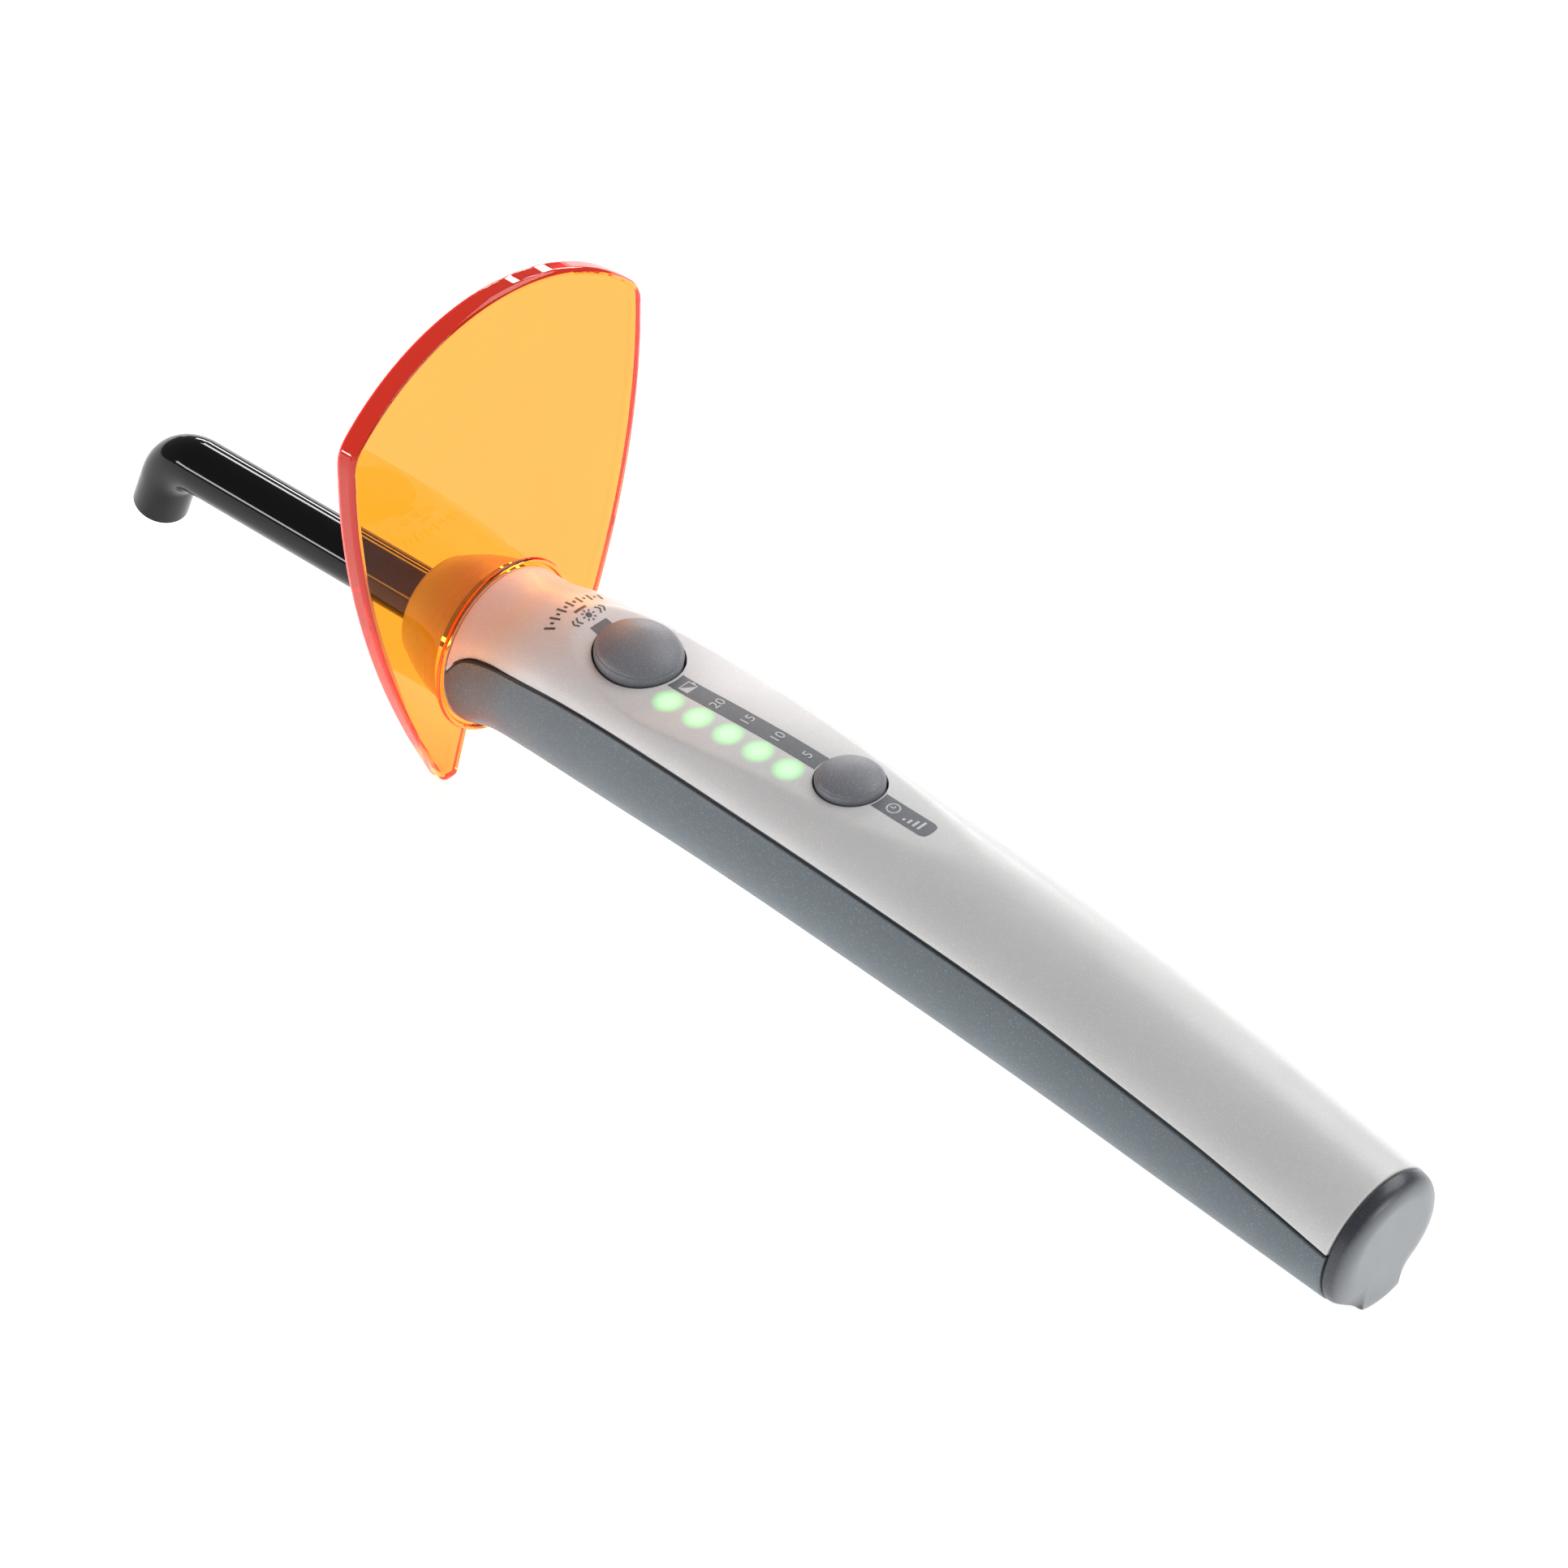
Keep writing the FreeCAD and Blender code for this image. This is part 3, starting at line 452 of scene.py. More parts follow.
PEARL_COLOR = (0.77, 0.765, 0.755)
PEARL_FLAKE = (0.88, 0.88, 0.88)
LIT_SKIN = (0.22, 0.45, 0.22)
LIGHT_RIM_GLOW = (0.30, 1.0, 0.30)
LIGHT_CORE_GLOW = (0.58, 1.0, 0.56)
LIGHT_STRENGTH = 0.95
LIGHT_FADE = (0.45, 1.2)  # where the glow starts to fade and ends, as shares of the light's radius

ORANGE_TONES = ((1.0, 0.55, 0.10), (1.0, 0.58, 0.12))
ORANGE_DEPTH_COLOR = (1.0, 0.74, 0.01)
ORANGE_DENSITY = 380.0
ORANGE_SHADOW = (1.0, 0.76, 0.22)
PAINTED_EDGE_GLOW = (1.0, 0.045, 0.02)
EDGE_STRENGTH = 0.60
EDGE_FACING = (0.80, 0.98)
HUB_EDGE = (16.2, 17.5)  # distance from the optical axis (mm) where the hub ends and the plate starts
HUB_EDGE_SHARE = 0.12

# Rear cap: painted shade (a dark reflection) on the rounding, painted light on the flat end face.
CAP_PAINTED_SHADE = (0.042, 0.046, 0.057)
CAP_FACE = (0.215, 0.23, 0.243)
CAP_FLAKE = (0.11, 0.12, 0.135)
CAP_SHADE_TO_LIGHT_FACING = (0.55, 0.99)

PLASTIC_SHADE = 0.96
PRINT_SHADE = 0.86
METAL_SHADE = 0.85
ROUGHNESS_WANDER = 0.04
GRAIN_DEPTH = 0.00003
COAT_ROUGHNESS = 0.25


def sparkle_plastic(name, base, sparkle, rough, flake_scale, flake_share, grain, coat=0.0):
    """Moulded plastic with a fine grain and a share of brighter flakes."""
    material, tree, shader, _ = new_material(name)
    flake = remap(tree, flakes(tree, flake_scale), (1 - flake_share, 1.0), FULL)
    shade = mottle(tree, scale=90.0, detail=3.0)
    body = mix_colors(tree, shade, scaled(base, PLASTIC_SHADE), base)
    wander = (rough - ROUGHNESS_WANDER, rough + ROUGHNESS_WANDER)
    texture = noise(tree, scale=7000.0, detail=2.0)
    fill(tree, shader, {
        "Base Color": mix_colors(tree, flake, body, sparkle),
        "Roughness": mottle(tree, scale=260.0, detail=4.0, target=wander),
        "Normal": bump(tree, texture, strength=grain, distance=GRAIN_DEPTH),
        "Coat Weight": coat,
        "Coat Roughness": COAT_ROUGHNESS,
    })
    return material, tree, shader


def status_glow(tree):
    """1 over each status light's middle, falling to 0 round it."""
    glow = None
    fade = (LIGHT_RADIUS * LIGHT_FADE[0] * MM, LIGHT_RADIUS * LIGHT_FADE[1] * MM)
    for i in range(LIGHT_COUNT):
        x = LIGHT_FIRST_X + i * LIGHT_PITCH
        surface = shell_point(x, math.atan2(panel_height(x, LIGHT_Y) - centre_z(x), LIGHT_Y))
        distance = vector_node(tree, "DISTANCE", coordinates(tree), at(surface))["Value"]
        spot = remap(tree, distance, fade, (1.0, 0.0))
        glow = spot if glow is None else math_node(tree, "MAXIMUM", glow, spot)
    return glow


def pearl_shell_material():
    """White pearl plastic; the status lights glow green through its thin skin."""
    material, tree, shader = sparkle_plastic(
        "pearl_shell", PEARL_COLOR, PEARL_FLAKE,
        rough=0.36, flake_scale=7000.0, flake_share=0.18, grain=0.06, coat=0.10)
    glow = status_glow(tree)
    plain = shader.inputs["Base Color"].links[0].from_socket
    fill(tree, shader, {
        "Emission Color": mix_colors(tree, glow, LIGHT_RIM_GLOW, LIGHT_CORE_GLOW),
        "Emission Strength": remap(tree, glow, FULL, (0.0, LIGHT_STRENGTH)),
        "Base Color": mix_colors(tree, glow, plain, LIT_SKIN),
    })
    return material


def slate_material():
    return sparkle_plastic(
        "slate_soft_touch", (0.135, 0.166, 0.186), (0.30, 0.34, 0.36),
        rough=0.42, flake_scale=7500.0, flake_share=0.08, grain=0.12)[0]


def button_material():
    return sparkle_plastic(
        "button_rubber", (0.215, 0.222, 0.245), (0.36, 0.37, 0.39),
        rough=0.45, flake_scale=8000.0, flake_share=0.12, grain=0.2)[0]


def cap_material():
    """Satin grey with painted shade on the rounding between the rim and the flat end, and painted light on the
    flat end.
    """
    material, tree, shader = sparkle_plastic(
        "cap_satin_painted_shade", CAP_PAINTED_SHADE, CAP_FLAKE,
        rough=0.34, flake_scale=6000.0, flake_share=0.06, grain=0.03, coat=0.2)
    # Painted light on the flat end face, fading to the painted shade of the rounding.
    flat = remap(tree, facing(tree, RIM_AXIS), CAP_SHADE_TO_LIGHT_FACING, FULL)
    band = shader.inputs["Base Color"].links[0].from_socket
    fill(tree, shader, {"Base Color": mix_colors(tree, flat, band, CAP_FACE)})
    return material


def edge_glow(tree):
    """Strength of the painted red glow in the shield's cut edges; the hub has only a share of it."""
    flatness = math_node(tree, "ABSOLUTE", facing(tree, AXIS_X))
    strength = remap(tree, flatness, EDGE_FACING, (EDGE_STRENGTH, 0.0))
    reach = vector_node(tree, "SUBTRACT", coordinates(tree), ORIGIN)["Vector"]
    across = vector_node(tree, "CROSS_PRODUCT", reach, AXIS_X)["Vector"]
    distance = vector_node(tree, "LENGTH", across)["Value"]
    hub_edge = (HUB_EDGE[0] * MM, HUB_EDGE[1] * MM)
    return math_node(tree, "MULTIPLY", strength, remap(tree, distance, hub_edge, (HUB_EDGE_SHARE, 1.0)))


def orange_material():
    """Clear orange plastic: amber through the plate, a painted red glow in its cut edges, amber shadows."""
    material, tree, shader, output = new_material("orange_clear")
    fill(tree, shader, {
        "Base Color": mix_colors(tree, mottle(tree, scale=30.0, detail=2.0), *ORANGE_TONES),
        "Roughness": mottle(tree, scale=45.0, detail=2.0, target=(0.0, 0.015)),
        "Transmission Weight": 1.0,
        "IOR": 1.5,
        # Painted glow: red emission on the plate's cut edges.
        "Emission Color": PAINTED_EDGE_GLOW,
        "Emission Strength": edge_glow(tree),
    })
    absorb = node(tree, "ShaderNodeVolumeAbsorption", {
        "Color": ORANGE_DEPTH_COLOR,
        "Density": ORANGE_DENSITY,
    })
    passing = node(tree, "ShaderNodeBsdfTransparent", {"Color": ORANGE_SHADOW})
    blend = node(tree, "ShaderNodeMixShader", {
        "Fac": node(tree, "ShaderNodeLightPath").outputs["Is Shadow Ray"],
        1: shader.outputs["BSDF"],
        2: passing.outputs["BSDF"],
    })
    fill(tree, output, {"Surface": blend.outputs["Shader"], "Volume": absorb.outputs["Volume"]})
    return material


def gloss_black_material():
    """Glossy black cladding with light wear and a faintly uneven surface."""
    material, tree, shader, _ = new_material("gloss_black")
    waves = noise(tree, scale=60.0, detail=1.0)
    fill(tree, shader, {
        "Base Color": (0.004, 0.004, 0.005),
        "IOR": 1.36,
        "Specular IOR Level": 0.5,
        "Roughness": mottle(tree, scale=600.0, detail=4.0, target=(0.04, 0.09), span=(0.35, 0.75)),
        "Normal": bump(tree, waves, strength=0.05, distance=0.0002),
    })
    return material


def print_material(name, color):
    """Printed ink, a little uneven."""
    material, tree, shader, _ = new_material(name)
    shade = mottle(tree, scale=2600.0, detail=2.0, span=(0.35, 0.65))
    fill(tree, shader, {
        "Base Color": mix_colors(tree, shade, scaled(color, PRINT_SHADE), color),
        "Roughness": mottle(tree, scale=900.0, detail=2.0, target=(0.40, 0.52)),
    })
    return material


def metal_material(name, color, rough):
    """Bright metal with a fine grain."""
    material, tree, shader, _ = new_material(name)
    shade = mottle(tree, scale=1400.0, detail=3.0)
    wander = (rough * 0.8, rough * 1.2)
    fill(tree, shader, {
        "Base Color": mix_colors(tree, shade, scaled(color, METAL_SHADE), color),
        "Roughness": mottle(tree, scale=2800.0, detail=3.0, target=wander),
        "Metallic": 1.0,
    })
    return material


def clear_material(name, color, rough):
    material, tree, shader, _ = new_material(name)
    wander = (rough * 0.7, rough * 1.3)
    fill(tree, shader, {
        "Base Color": color,
        "Roughness": mottle(tree, scale=500.0, detail=2.0, target=wander),
        "Transmission Weight": 1.0,
        "IOR": 1.49,
    })
    return material


def plain_plastic(name, color, rough):
    """Plastic of the small inner pieces, with a few slightly brighter specks."""
    speck = tuple(min(1, c * 1.3 + 0.01) for c in color)
    return sparkle_plastic(
        name, color, speck, rough, flake_scale=3000.0, flake_share=0.05, grain=0.3)[0]


# ---- Handle shells -------------------------------------------------------------------------------

SECTION_PITCH = 1.0
SECTION_POINTS = 120
ROUND_STEPS = 4
CUTTER_HALF_HEIGHT = 9.0
BUTTON_SIDES = 128


def edge_rounding():
    """A rounded edge from its outermost point: shares of its radius along the surface and inwards."""
    quarter = [math.pi / 2 * k / ROUND_STEPS for k in range(ROUND_STEPS)]
    return [(1 - math.cos(turn), 1 - math.sin(turn)) for turn in quarter]


def stations(first, last):
    """X stations, with (x, inset) pairs that round the form's two ends."""
    span = last - first - 2 * EDGE_ROUND
    count = max(2, round(span / SECTION_PITCH))
    rounded = [(EDGE_ROUND * along, EDGE_ROUND * inset) for along, inset in edge_rounding()]
    start = [(first + dx, inset) for dx, inset in rounded]
    inner = [(first + EDGE_ROUND + span * i / count, 0.0) for i in range(count + 1)]
    end = [(last - dx, inset) for dx, inset in reversed(rounded)]
    return start + inner + end


def shell_ring(x, inset, from_angle, to_angle):
    """Closed C-shaped section: the outer surface with rounded corners, then the inner one back."""
    corner = EDGE_ROUND / handle_radius(x)
    outer = [(corner * along, inset + EDGE_ROUND * drop) for along, drop in edge_rounding()]
    span = (to_angle - from_angle - 2 * corner) / (SECTION_POINTS - 1)
    path = [(from_angle + a, i) for a, i in outer]
    path += [(from_angle + corner + span * i, inset) for i in range(SECTION_POINTS)]
    path += [(to_angle - a, i) for a, i in reversed(outer)]
    ring = [shell_point(x, a, i) for a, i in path]
    return ring + [shell_point(x, a, WALL) for a, _ in reversed(path)]


def make_shell(name, material, upper):
    rings = []
    for x, inset in stations(SHELL_FRONT_X, RIM_X):
        right = split_angle(x, SEAM_WIDTH / 2 if upper else -SEAM_WIDTH / 2)
        if upper:
            rings.append(shell_ring(x, inset, right, math.pi - right))
        else:
            rings.append(shell_ring(x, inset, math.pi - right, 2 * math.pi + right))
    points = [p for ring in rings for p in ring]
    size = len(rings[0])
    faces = ring_faces(len(rings), size, cap_ends=False)
    last = (len(rings) - 1) * size
    for i in range(size // 2 - 1):
        j = size - 1 - i
        faces.append((i, i + 1, j - 1, j))
        faces.append((last + j, last + j - 1, last + i + 1, last + i))
    return add_piece(name, points, faces, "handpiece", material)


def button_frame(spec):
    """Maps a button's own (x, y, z), with z out of the panel, to the working frame."""
    cos_t = math.cos(spec["tilt"])
    sin_t = math.sin(spec["tilt"])

    def to_work(x, y, z):
        return (spec["x"] + x * cos_t + z * sin_t, y, spec["rim_z"] - x * sin_t + z * cos_t)

    return to_work


def button_ring(to_work, radius, height, taper=0.0):
    """Ring round a button's axis, narrowed to the rear by the taper."""
    ring = []
    for turn in turns(BUTTON_SIDES):
        along = math.cos(turn)
        width = 1 - taper * (1 + along) / 2
        ring.append(to_work(radius * along, radius * math.sin(turn) * width, height))
    return ring


def hole_cutter(spec):
    """Cylinder that cuts a button's hole in the upper shell."""
    to_work = button_frame(spec)
    radius = spec["radius"] + BUTTON_HOLE_GAP
    points = []
    for height in (-CUTTER_HALF_HEIGHT, CUTTER_HALF_HEIGHT):
        points += [at(p) for p in button_ring(to_work, radius, height)]
    mesh = bpy.data.meshes.new("cutter")
    mesh.from_pydata(points, [], ring_faces(2, BUTTON_SIDES))
    cutter = new_object("cutter", mesh)
    with editing(mesh) as work:
        bmesh.ops.recalc_face_normals(work, faces=work.faces)
    return cutter


# ---- Buttons -------------------------------------------------------------------------------------

BUTTON_BAND_SHARE = 0.24  # height of the straight side band, as a share of the dome's height
BAND_EDGE = 0.1
DOME_FOOT_INSET = 0.25
DOME_FOOT_RISE = 0.2
DOME_STEPS = 24
DOME_FLATNESS = 2.2
DOME_FULLNESS = 0.62
SKIRT_BOTTOM = -3.1
FLANGE_BOTTOM = -3.9
FLANGE_REACH = 0.9


def button_profile(spec):
    """The dome, side band and skirt, as (share of the radius, height) from the top down."""
    radius = spec["radius"]
    band = BUTTON_BAND_SHARE * spec["dome"]
    foot = band + DOME_FOOT_RISE
    shoulder = 1 - DOME_FOOT_INSET / radius
    profile = []
    for k in range(1, DOME_STEPS + 1):
        t = math.sin(math.pi / 2 * k / DOME_STEPS)
        height = foot + (spec["dome"] - foot) * (1 - t ** DOME_FLATNESS) ** DOME_FULLNESS
        profile.append((t * shoulder, height))
    profile.append((1 - BAND_EDGE / radius, band + BAND_EDGE))
    profile += [(1.0, band - BAND_EDGE), (1.0, 0.0), (1.0, SKIRT_BOTTOM)]
    return profile


def make_button(name, node_name, spec, material, taper):
    """Domed button, a little narrower to the rear, with a side band, a skirt and a flange."""
    to_work = button_frame(spec)
    radius = spec["radius"]
    rings = [
        button_ring(to_work, radius * share, height, taper)
        for share, height in button_profile(spec)
    ]
    for height in (SKIRT_BOTTOM, FLANGE_BOTTOM):
        rings.append(button_ring(to_work, radius + FLANGE_REACH, height))
    obj = add_turned_piece(name, rings, node_name, material)
    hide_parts(node_name)
    return obj


# ---- Rear cap ------------------------------------------------------------------------------------

CAP_GAP = 0.3
CAP_RADIUS = 12.6
CAP_DEPTH = 3.6
CAP_RIM_WIDTH = 0.25
CAP_RIM_INSET = 0.15
CAP_FACE_RADIUS = 8.2
CAP_FACE_LIFT = 0.9
CAP_FACE_FLAT = 1.2  # how far the round face is cut back at its bottom, beside the tongue
TONGUE_HALF_WIDTH = 4.4
TONGUE_REACH = 12.2
TONGUE_MARGIN = 0.45
TONGUE_FILLET = 0.25
TONGUE_FILLET_SPREAD = 0.8
SPIGOT_RADIUS = 10.2
SPIGOT_LENGTH = 7.0
SPIGOT_WALL = 1.5
SPIGOT_CHAMFER = 0.4
CAP_SIDES = 320
CAP_FACE_STEPS = 10
CAP_FALL_STEPS = 18


def at_rim(s, y, w):
    """A point given along the drooping axis at the rim, across it and up from it."""
    cos_t = math.cos(RIM_TILT)
    sin_t = math.sin(RIM_TILT)
    return (RIM_X + s * cos_t + w * sin_t, y, RIM_Z - s * sin_t + w * cos_t)


def cap_face_reach(angle):
    """How far the cap's flat end face reaches from the axis; below, it runs out into the tongue."""
    across = math.cos(angle)
    up = math.sin(angle)
    half_chord = math.sqrt(CAP_FACE_RADIUS ** 2 - CAP_FACE_LIFT ** 2 * across ** 2)
    round_part = CAP_FACE_LIFT * up + half_chord
    if up >= 0:
        return round_part
    round_part -= CAP_FACE_FLAT * up * up
    end = TONGUE_REACH / max(TINY, -up)
    side = TONGUE_HALF_WIDTH / max(TINY, abs(across))
    tongue = min(end, side, CAP_RADIUS - TONGUE_MARGIN)
    fillet = math.exp(-((tongue - round_part) / TONGUE_FILLET_SPREAD) ** 2)
    return max(round_part, tongue) + TONGUE_FILLET * fillet


def cap_ring(radii, s):
    """Ring round the drooping axis, with a radius for each of its angles."""
    return [
        at_rim(s, r * math.cos(angle), r * math.sin(angle))
        for r, angle in zip(radii, turns(CAP_SIDES))
    ]


def make_rear_cap(material):
    """Cap with a flat end face, a pull tongue at its bottom and a spigot that enters the handle."""
    reaches = [cap_face_reach(angle) for angle in turns(CAP_SIDES)]
    rings = []
    for k in range(1, CAP_FACE_STEPS + 1):
        share = k / CAP_FACE_STEPS
        rings.append(cap_ring([reach * share for reach in reaches], CAP_GAP + CAP_DEPTH))
    for k in range(1, CAP_FALL_STEPS + 1):
        turn = math.pi / 2 * (k / CAP_FALL_STEPS)
        radii = [reach + (CAP_RADIUS - reach) * math.sin(turn) for reach in reaches]
        s = CAP_GAP + CAP_RIM_WIDTH + (CAP_DEPTH - CAP_RIM_WIDTH) * math.cos(turn)
        rings.append(cap_ring(radii, s))
    inner = SPIGOT_RADIUS - SPIGOT_WALL
    tail = (
        (CAP_RADIUS - CAP_RIM_INSET, CAP_GAP),
        (SPIGOT_RADIUS, CAP_GAP),
        (SPIGOT_RADIUS, 0.0),
        (SPIGOT_RADIUS, SPIGOT_CHAMFER - SPIGOT_LENGTH),
        (SPIGOT_RADIUS - SPIGOT_CHAMFER, -SPIGOT_LENGTH),
        (inner, -SPIGOT_LENGTH),
        (inner, CAP_GAP),
    )
    rings += [cap_ring([radius] * CAP_SIDES, s) for radius, s in tail]
    obj = add_turned_piece("rear_cap_moulding", rings, "rear_cap", material)
    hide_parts("rear_cap")
    return obj


# ---- Printing on the panel -----------------------------------------------------------------------
# Outlines are drawn flat, in mm: x along the handle and y across it.

PRINT_LIFT = 0.03
MARK_LIFT = PRINT_LIFT + 0.03
PRINT_THICKNESS = 0.02
LONGEST_PRINT_EDGE = 0.7
PRINT_EDGE_CUTS = 3
RECTANGLE_PITCH = 0.5

STRIP_HALF_WIDTH = 1.85
STRIP_START_GAP = 0.75
STRIP_TIMER_GAP = 0.55
STRIP_STEPS = 60

LABEL_HALF_WIDTH = 1.95
LABEL_TIMER_GAP = 0.6
LABEL_BACK_X = 98.2
LABEL_CORNER = 0.8
LABEL_BULGE = 0.3
LABEL_STEPS = 18
LABEL_BACK_STEPS = 12

NUMBERS = ("20", "15", "10", "5")
NUMBER_HEIGHT = 1.9
FONT_SIZE_SHARE = 1.42  # the font's size for digits of height 1
NUMBER_HALF_THICKNESS = 0.02

BATTERY_HALF_LENGTH = 1.05
BATTERY_HALF_WIDTH = 1.3
BATTERY_LINE = 0.22
BATTERY_POLE_HALF = 0.35
BATTERY_POLE_TOP = 1.55
BATTERY_FILL_TOP = 0.9

CLOCK_X = 90.0
CLOCK_RADIUS = 1.12
CLOCK_LINE = 0.26
CLOCK_HAND_LINE = 0.24
CLOCK_HANDS = (((0.0, 0.0), (-0.75, 0.0)), ((0.0, -0.1), (0.0, 0.6)))
BARS_X = 92.8
BAR_COUNT = 4
BAR_PITCH = 1.05
BAR_WIDTH = 0.5
BAR_FOOT_Y = -1.1
BAR_RISE = 0.55

START_BAR = (23.7, 25.6, -1.9, 1.9)  # a rectangle's x range and y range
LAMP_X = 21.6
LAMP_RADIUS = 0.55
RAY_COUNT = 8
RAY_ENDS = (0.85, 1.3)
RAY_LINE = 0.26
ARROW_Y = (2.1, 3.0)
ARROW_HALF = 0.8
ARROW_POINT = 0.55
ARROW_LINE = 0.3

PULSE_X = 17.2  # where the arc of pulses crosses the handle's middle
PULSE_HALF_COUNT = 6
PULSE_PITCH = math.radians(3.7)
PULSE_TALL = 1.0
PULSE_SHORT = 0.35
PULSE_LINE = 0.40
PULSE_BAR = (19.3, 19.9, -1.3, 1.3)  # a rectangle's x range and y range


def line_points(first, last, count):
    """Evenly spaced points on a straight line, both ends included."""
    return [
        (first[0] + (last[0] - first[0]) * i / count, first[1] + (last[1] - first[1]) * i / count)
        for i in range(count + 1)
    ]


def rectangle(x0, x1, y0, y1):
    nx = max(1, round(abs(x1 - x0) / RECTANGLE_PITCH))
    ny = max(1, round(abs(y1 - y0) / RECTANGLE_PITCH))
    bottom = [(x0 + (x1 - x0) * i / nx, y0) for i in range(nx)]
    right = [(x1, y0 + (y1 - y0) * i / ny) for i in range(ny)]
    top = [(x1 + (x0 - x1) * i / nx, y1) for i in range(nx)]
    left = [(x0, y1 + (y0 - y1) * i / ny) for i in range(ny)]
    return bottom + right + top + left


def disc(x, radius, count=40):
    return [(x + radius * math.cos(turn), radius * math.sin(turn)) for turn in turns(count)]


def stroke(points, width):
    """One closed outline around an open line of the given width."""
    left = []
    right = []
    for i, (x, y) in enumerate(points):
        x0, y0 = points[max(0, i - 1)]
        x1, y1 = points[min(len(points) - 1, i + 1)]
        length = math.hypot(x1 - x0, y1 - y0)
        nx = -(y1 - y0) / length * width / 2
        ny = (x1 - x0) / length * width / 2
        left.append((x + nx, y + ny))
        right.append((x - nx, y - ny))
    return left + right[::-1]


def circle_strokes(x, radius, width, parts=8, steps=6):
    """A circle's line, as short curved strokes end to end."""
    made = []
    for k in range(parts):
        arc = [2 * math.pi * (k + i / steps) / parts for i in range(steps + 1)]
        points = [(x + radius * math.cos(turn), radius * math.sin(turn)) for turn in arc]
        made.append(stroke(points, width))
    return made


def button_arc(spec, gap, half_width, side, count=10):
    """Points of an arc round a button, from -half_width to +half_width across the handle."""
    radius = spec["radius"] + gap
    points = []
    for i in range(count + 1):
        y = -half_width + 2 * half_width * i / count
        points.append((spec["x"] + side * math.sqrt(radius * radius - y * y), y))
    return points


def band_outline(front, back, steps):
    """Outline of a band between two end lines, both drawn from -y to +y."""
    lower = line_points(front[0], back[0], steps)
    upper = line_points(back[-1], front[-1], steps)
    return lower + back[1:-1] + upper + front[::-1][1:-1]


def lay_on_panel(name, mesh, material, lift, x0=0.0):
    """Lays a flat mesh on the handle's top surface, moved back by x0."""
    with editing(mesh) as work:
        bmesh.ops.triangulate(work, faces=work.faces)
        long_edges = [e for e in work.edges if e.calc_length() > LONGEST_PRINT_EDGE]
        bmesh.ops.subdivide_edges(work, edges=long_edges, cuts=PRINT_EDGE_CUTS, use_grid_fill=True)
        for vert in work.verts:
            x = x0 + vert.co.x
            y = vert.co.y
            vert.co = at((x, y, panel_height(x, y) + lift + vert.co.z))
    return finish_piece(name, mesh, "handpiece", material)


def lay_plates(name, outlines, material, lift=PRINT_LIFT, x0=0.0):
    """One printed piece made of thin plates with these closed outlines."""
    points = []
    faces = []
    for outline in outlines:
        start = len(points)
        for z in (0.0, PRINT_THICKNESS):
            points += [(x, y, z) for x, y in outline]
        faces += [[start + i for i in face] for face in ring_faces(2, len(outline))]
    mesh = bpy.data.meshes.new(name)
    mesh.from_pydata(points, [], faces)
    return lay_on_panel(name, mesh, material, lift, x0)


def number_mesh(text):
    """Number drawn as it is printed: it reads across the handle, its top towards the eye shield."""
    curve = bpy.data.curves.new("number", "FONT")
    curve.body = text
    curve.size = NUMBER_HEIGHT * FONT_SIZE_SHARE
    curve.align_x = "CENTER"
    curve.align_y = "CENTER"
    curve.extrude = NUMBER_HALF_THICKNESS
    curve.resolution_u = 6
    holder = new_object("number", curve)
    mesh = evaluated_mesh(holder)
    bpy.data.objects.remove(holder)
    for vert in mesh.vertices:
        vert.co = (-vert.co.y, vert.co.x, vert.co.z + NUMBER_HALF_THICKNESS)
    mesh.materials.clear()
    return mesh


def make_strip(material):
    """Strip between the two buttons."""
    start = button_arc(START, STRIP_START_GAP, STRIP_HALF_WIDTH, 1)
    end = button_arc(TIMER, STRIP_TIMER_GAP, STRIP_HALF_WIDTH, -1)
    lay_plates("scale_strip", [band_outline(start, end, STRIP_STEPS)], material)


def make_timer_label(material):
    """Label behind the timer button, with rounded rear corners."""
    front = button_arc(TIMER, LABEL_TIMER_GAP, LABEL_HALF_WIDTH, 1)
    back = []
    for i in range(LABEL_BACK_STEPS + 1):
        y = -LABEL_HALF_WIDTH + 2 * LABEL_HALF_WIDTH * i / LABEL_BACK_STEPS
        edge = max(0.0, abs(y) - (LABEL_HALF_WIDTH - LABEL_CORNER))
        corner = LABEL_CORNER - math.sqrt(LABEL_CORNER ** 2 - edge ** 2)
        bulge = LABEL_BULGE * (1 - (y / LABEL_HALF_WIDTH) ** 2)
        back.append((LABEL_BACK_X + bulge - corner, y))
    lay_plates("timer_label", [band_outline(front, back, LABEL_STEPS)], material)


def make_numbers(material):
    """A number beside each status light but the first."""
    for i, text in enumerate(NUMBERS):
        x = LIGHT_FIRST_X + (i + 1) * LIGHT_PITCH
        lay_on_panel("scale_number_" + text, number_mesh(text), material, MARK_LIFT, x)


def make_battery_mark(material):
    """Half-filled battery beside the first status light."""
    long = BATTERY_HALF_LENGTH
    wide = BATTERY_HALF_WIDTH
    inner_long = long - BATTERY_LINE
    inner_wide = wide - BATTERY_LINE
    battery = [
        rectangle(-long, -inner_long, -wide, wide),
        rectangle(inner_long, long, -wide, wide),
        rectangle(-inner_long, inner_long, -wide, -inner_wide),
        rectangle(-inner_long, inner_long, inner_wide, wide),
        rectangle(-BATTERY_POLE_HALF, BATTERY_POLE_HALF, wide, BATTERY_POLE_TOP),
        [(-inner_long, -inner_wide), (inner_long, -inner_wide), (inner_long, BATTERY_FILL_TOP)],
    ]
    lay_plates("battery_mark", battery, material, MARK_LIFT, LIGHT_FIRST_X)


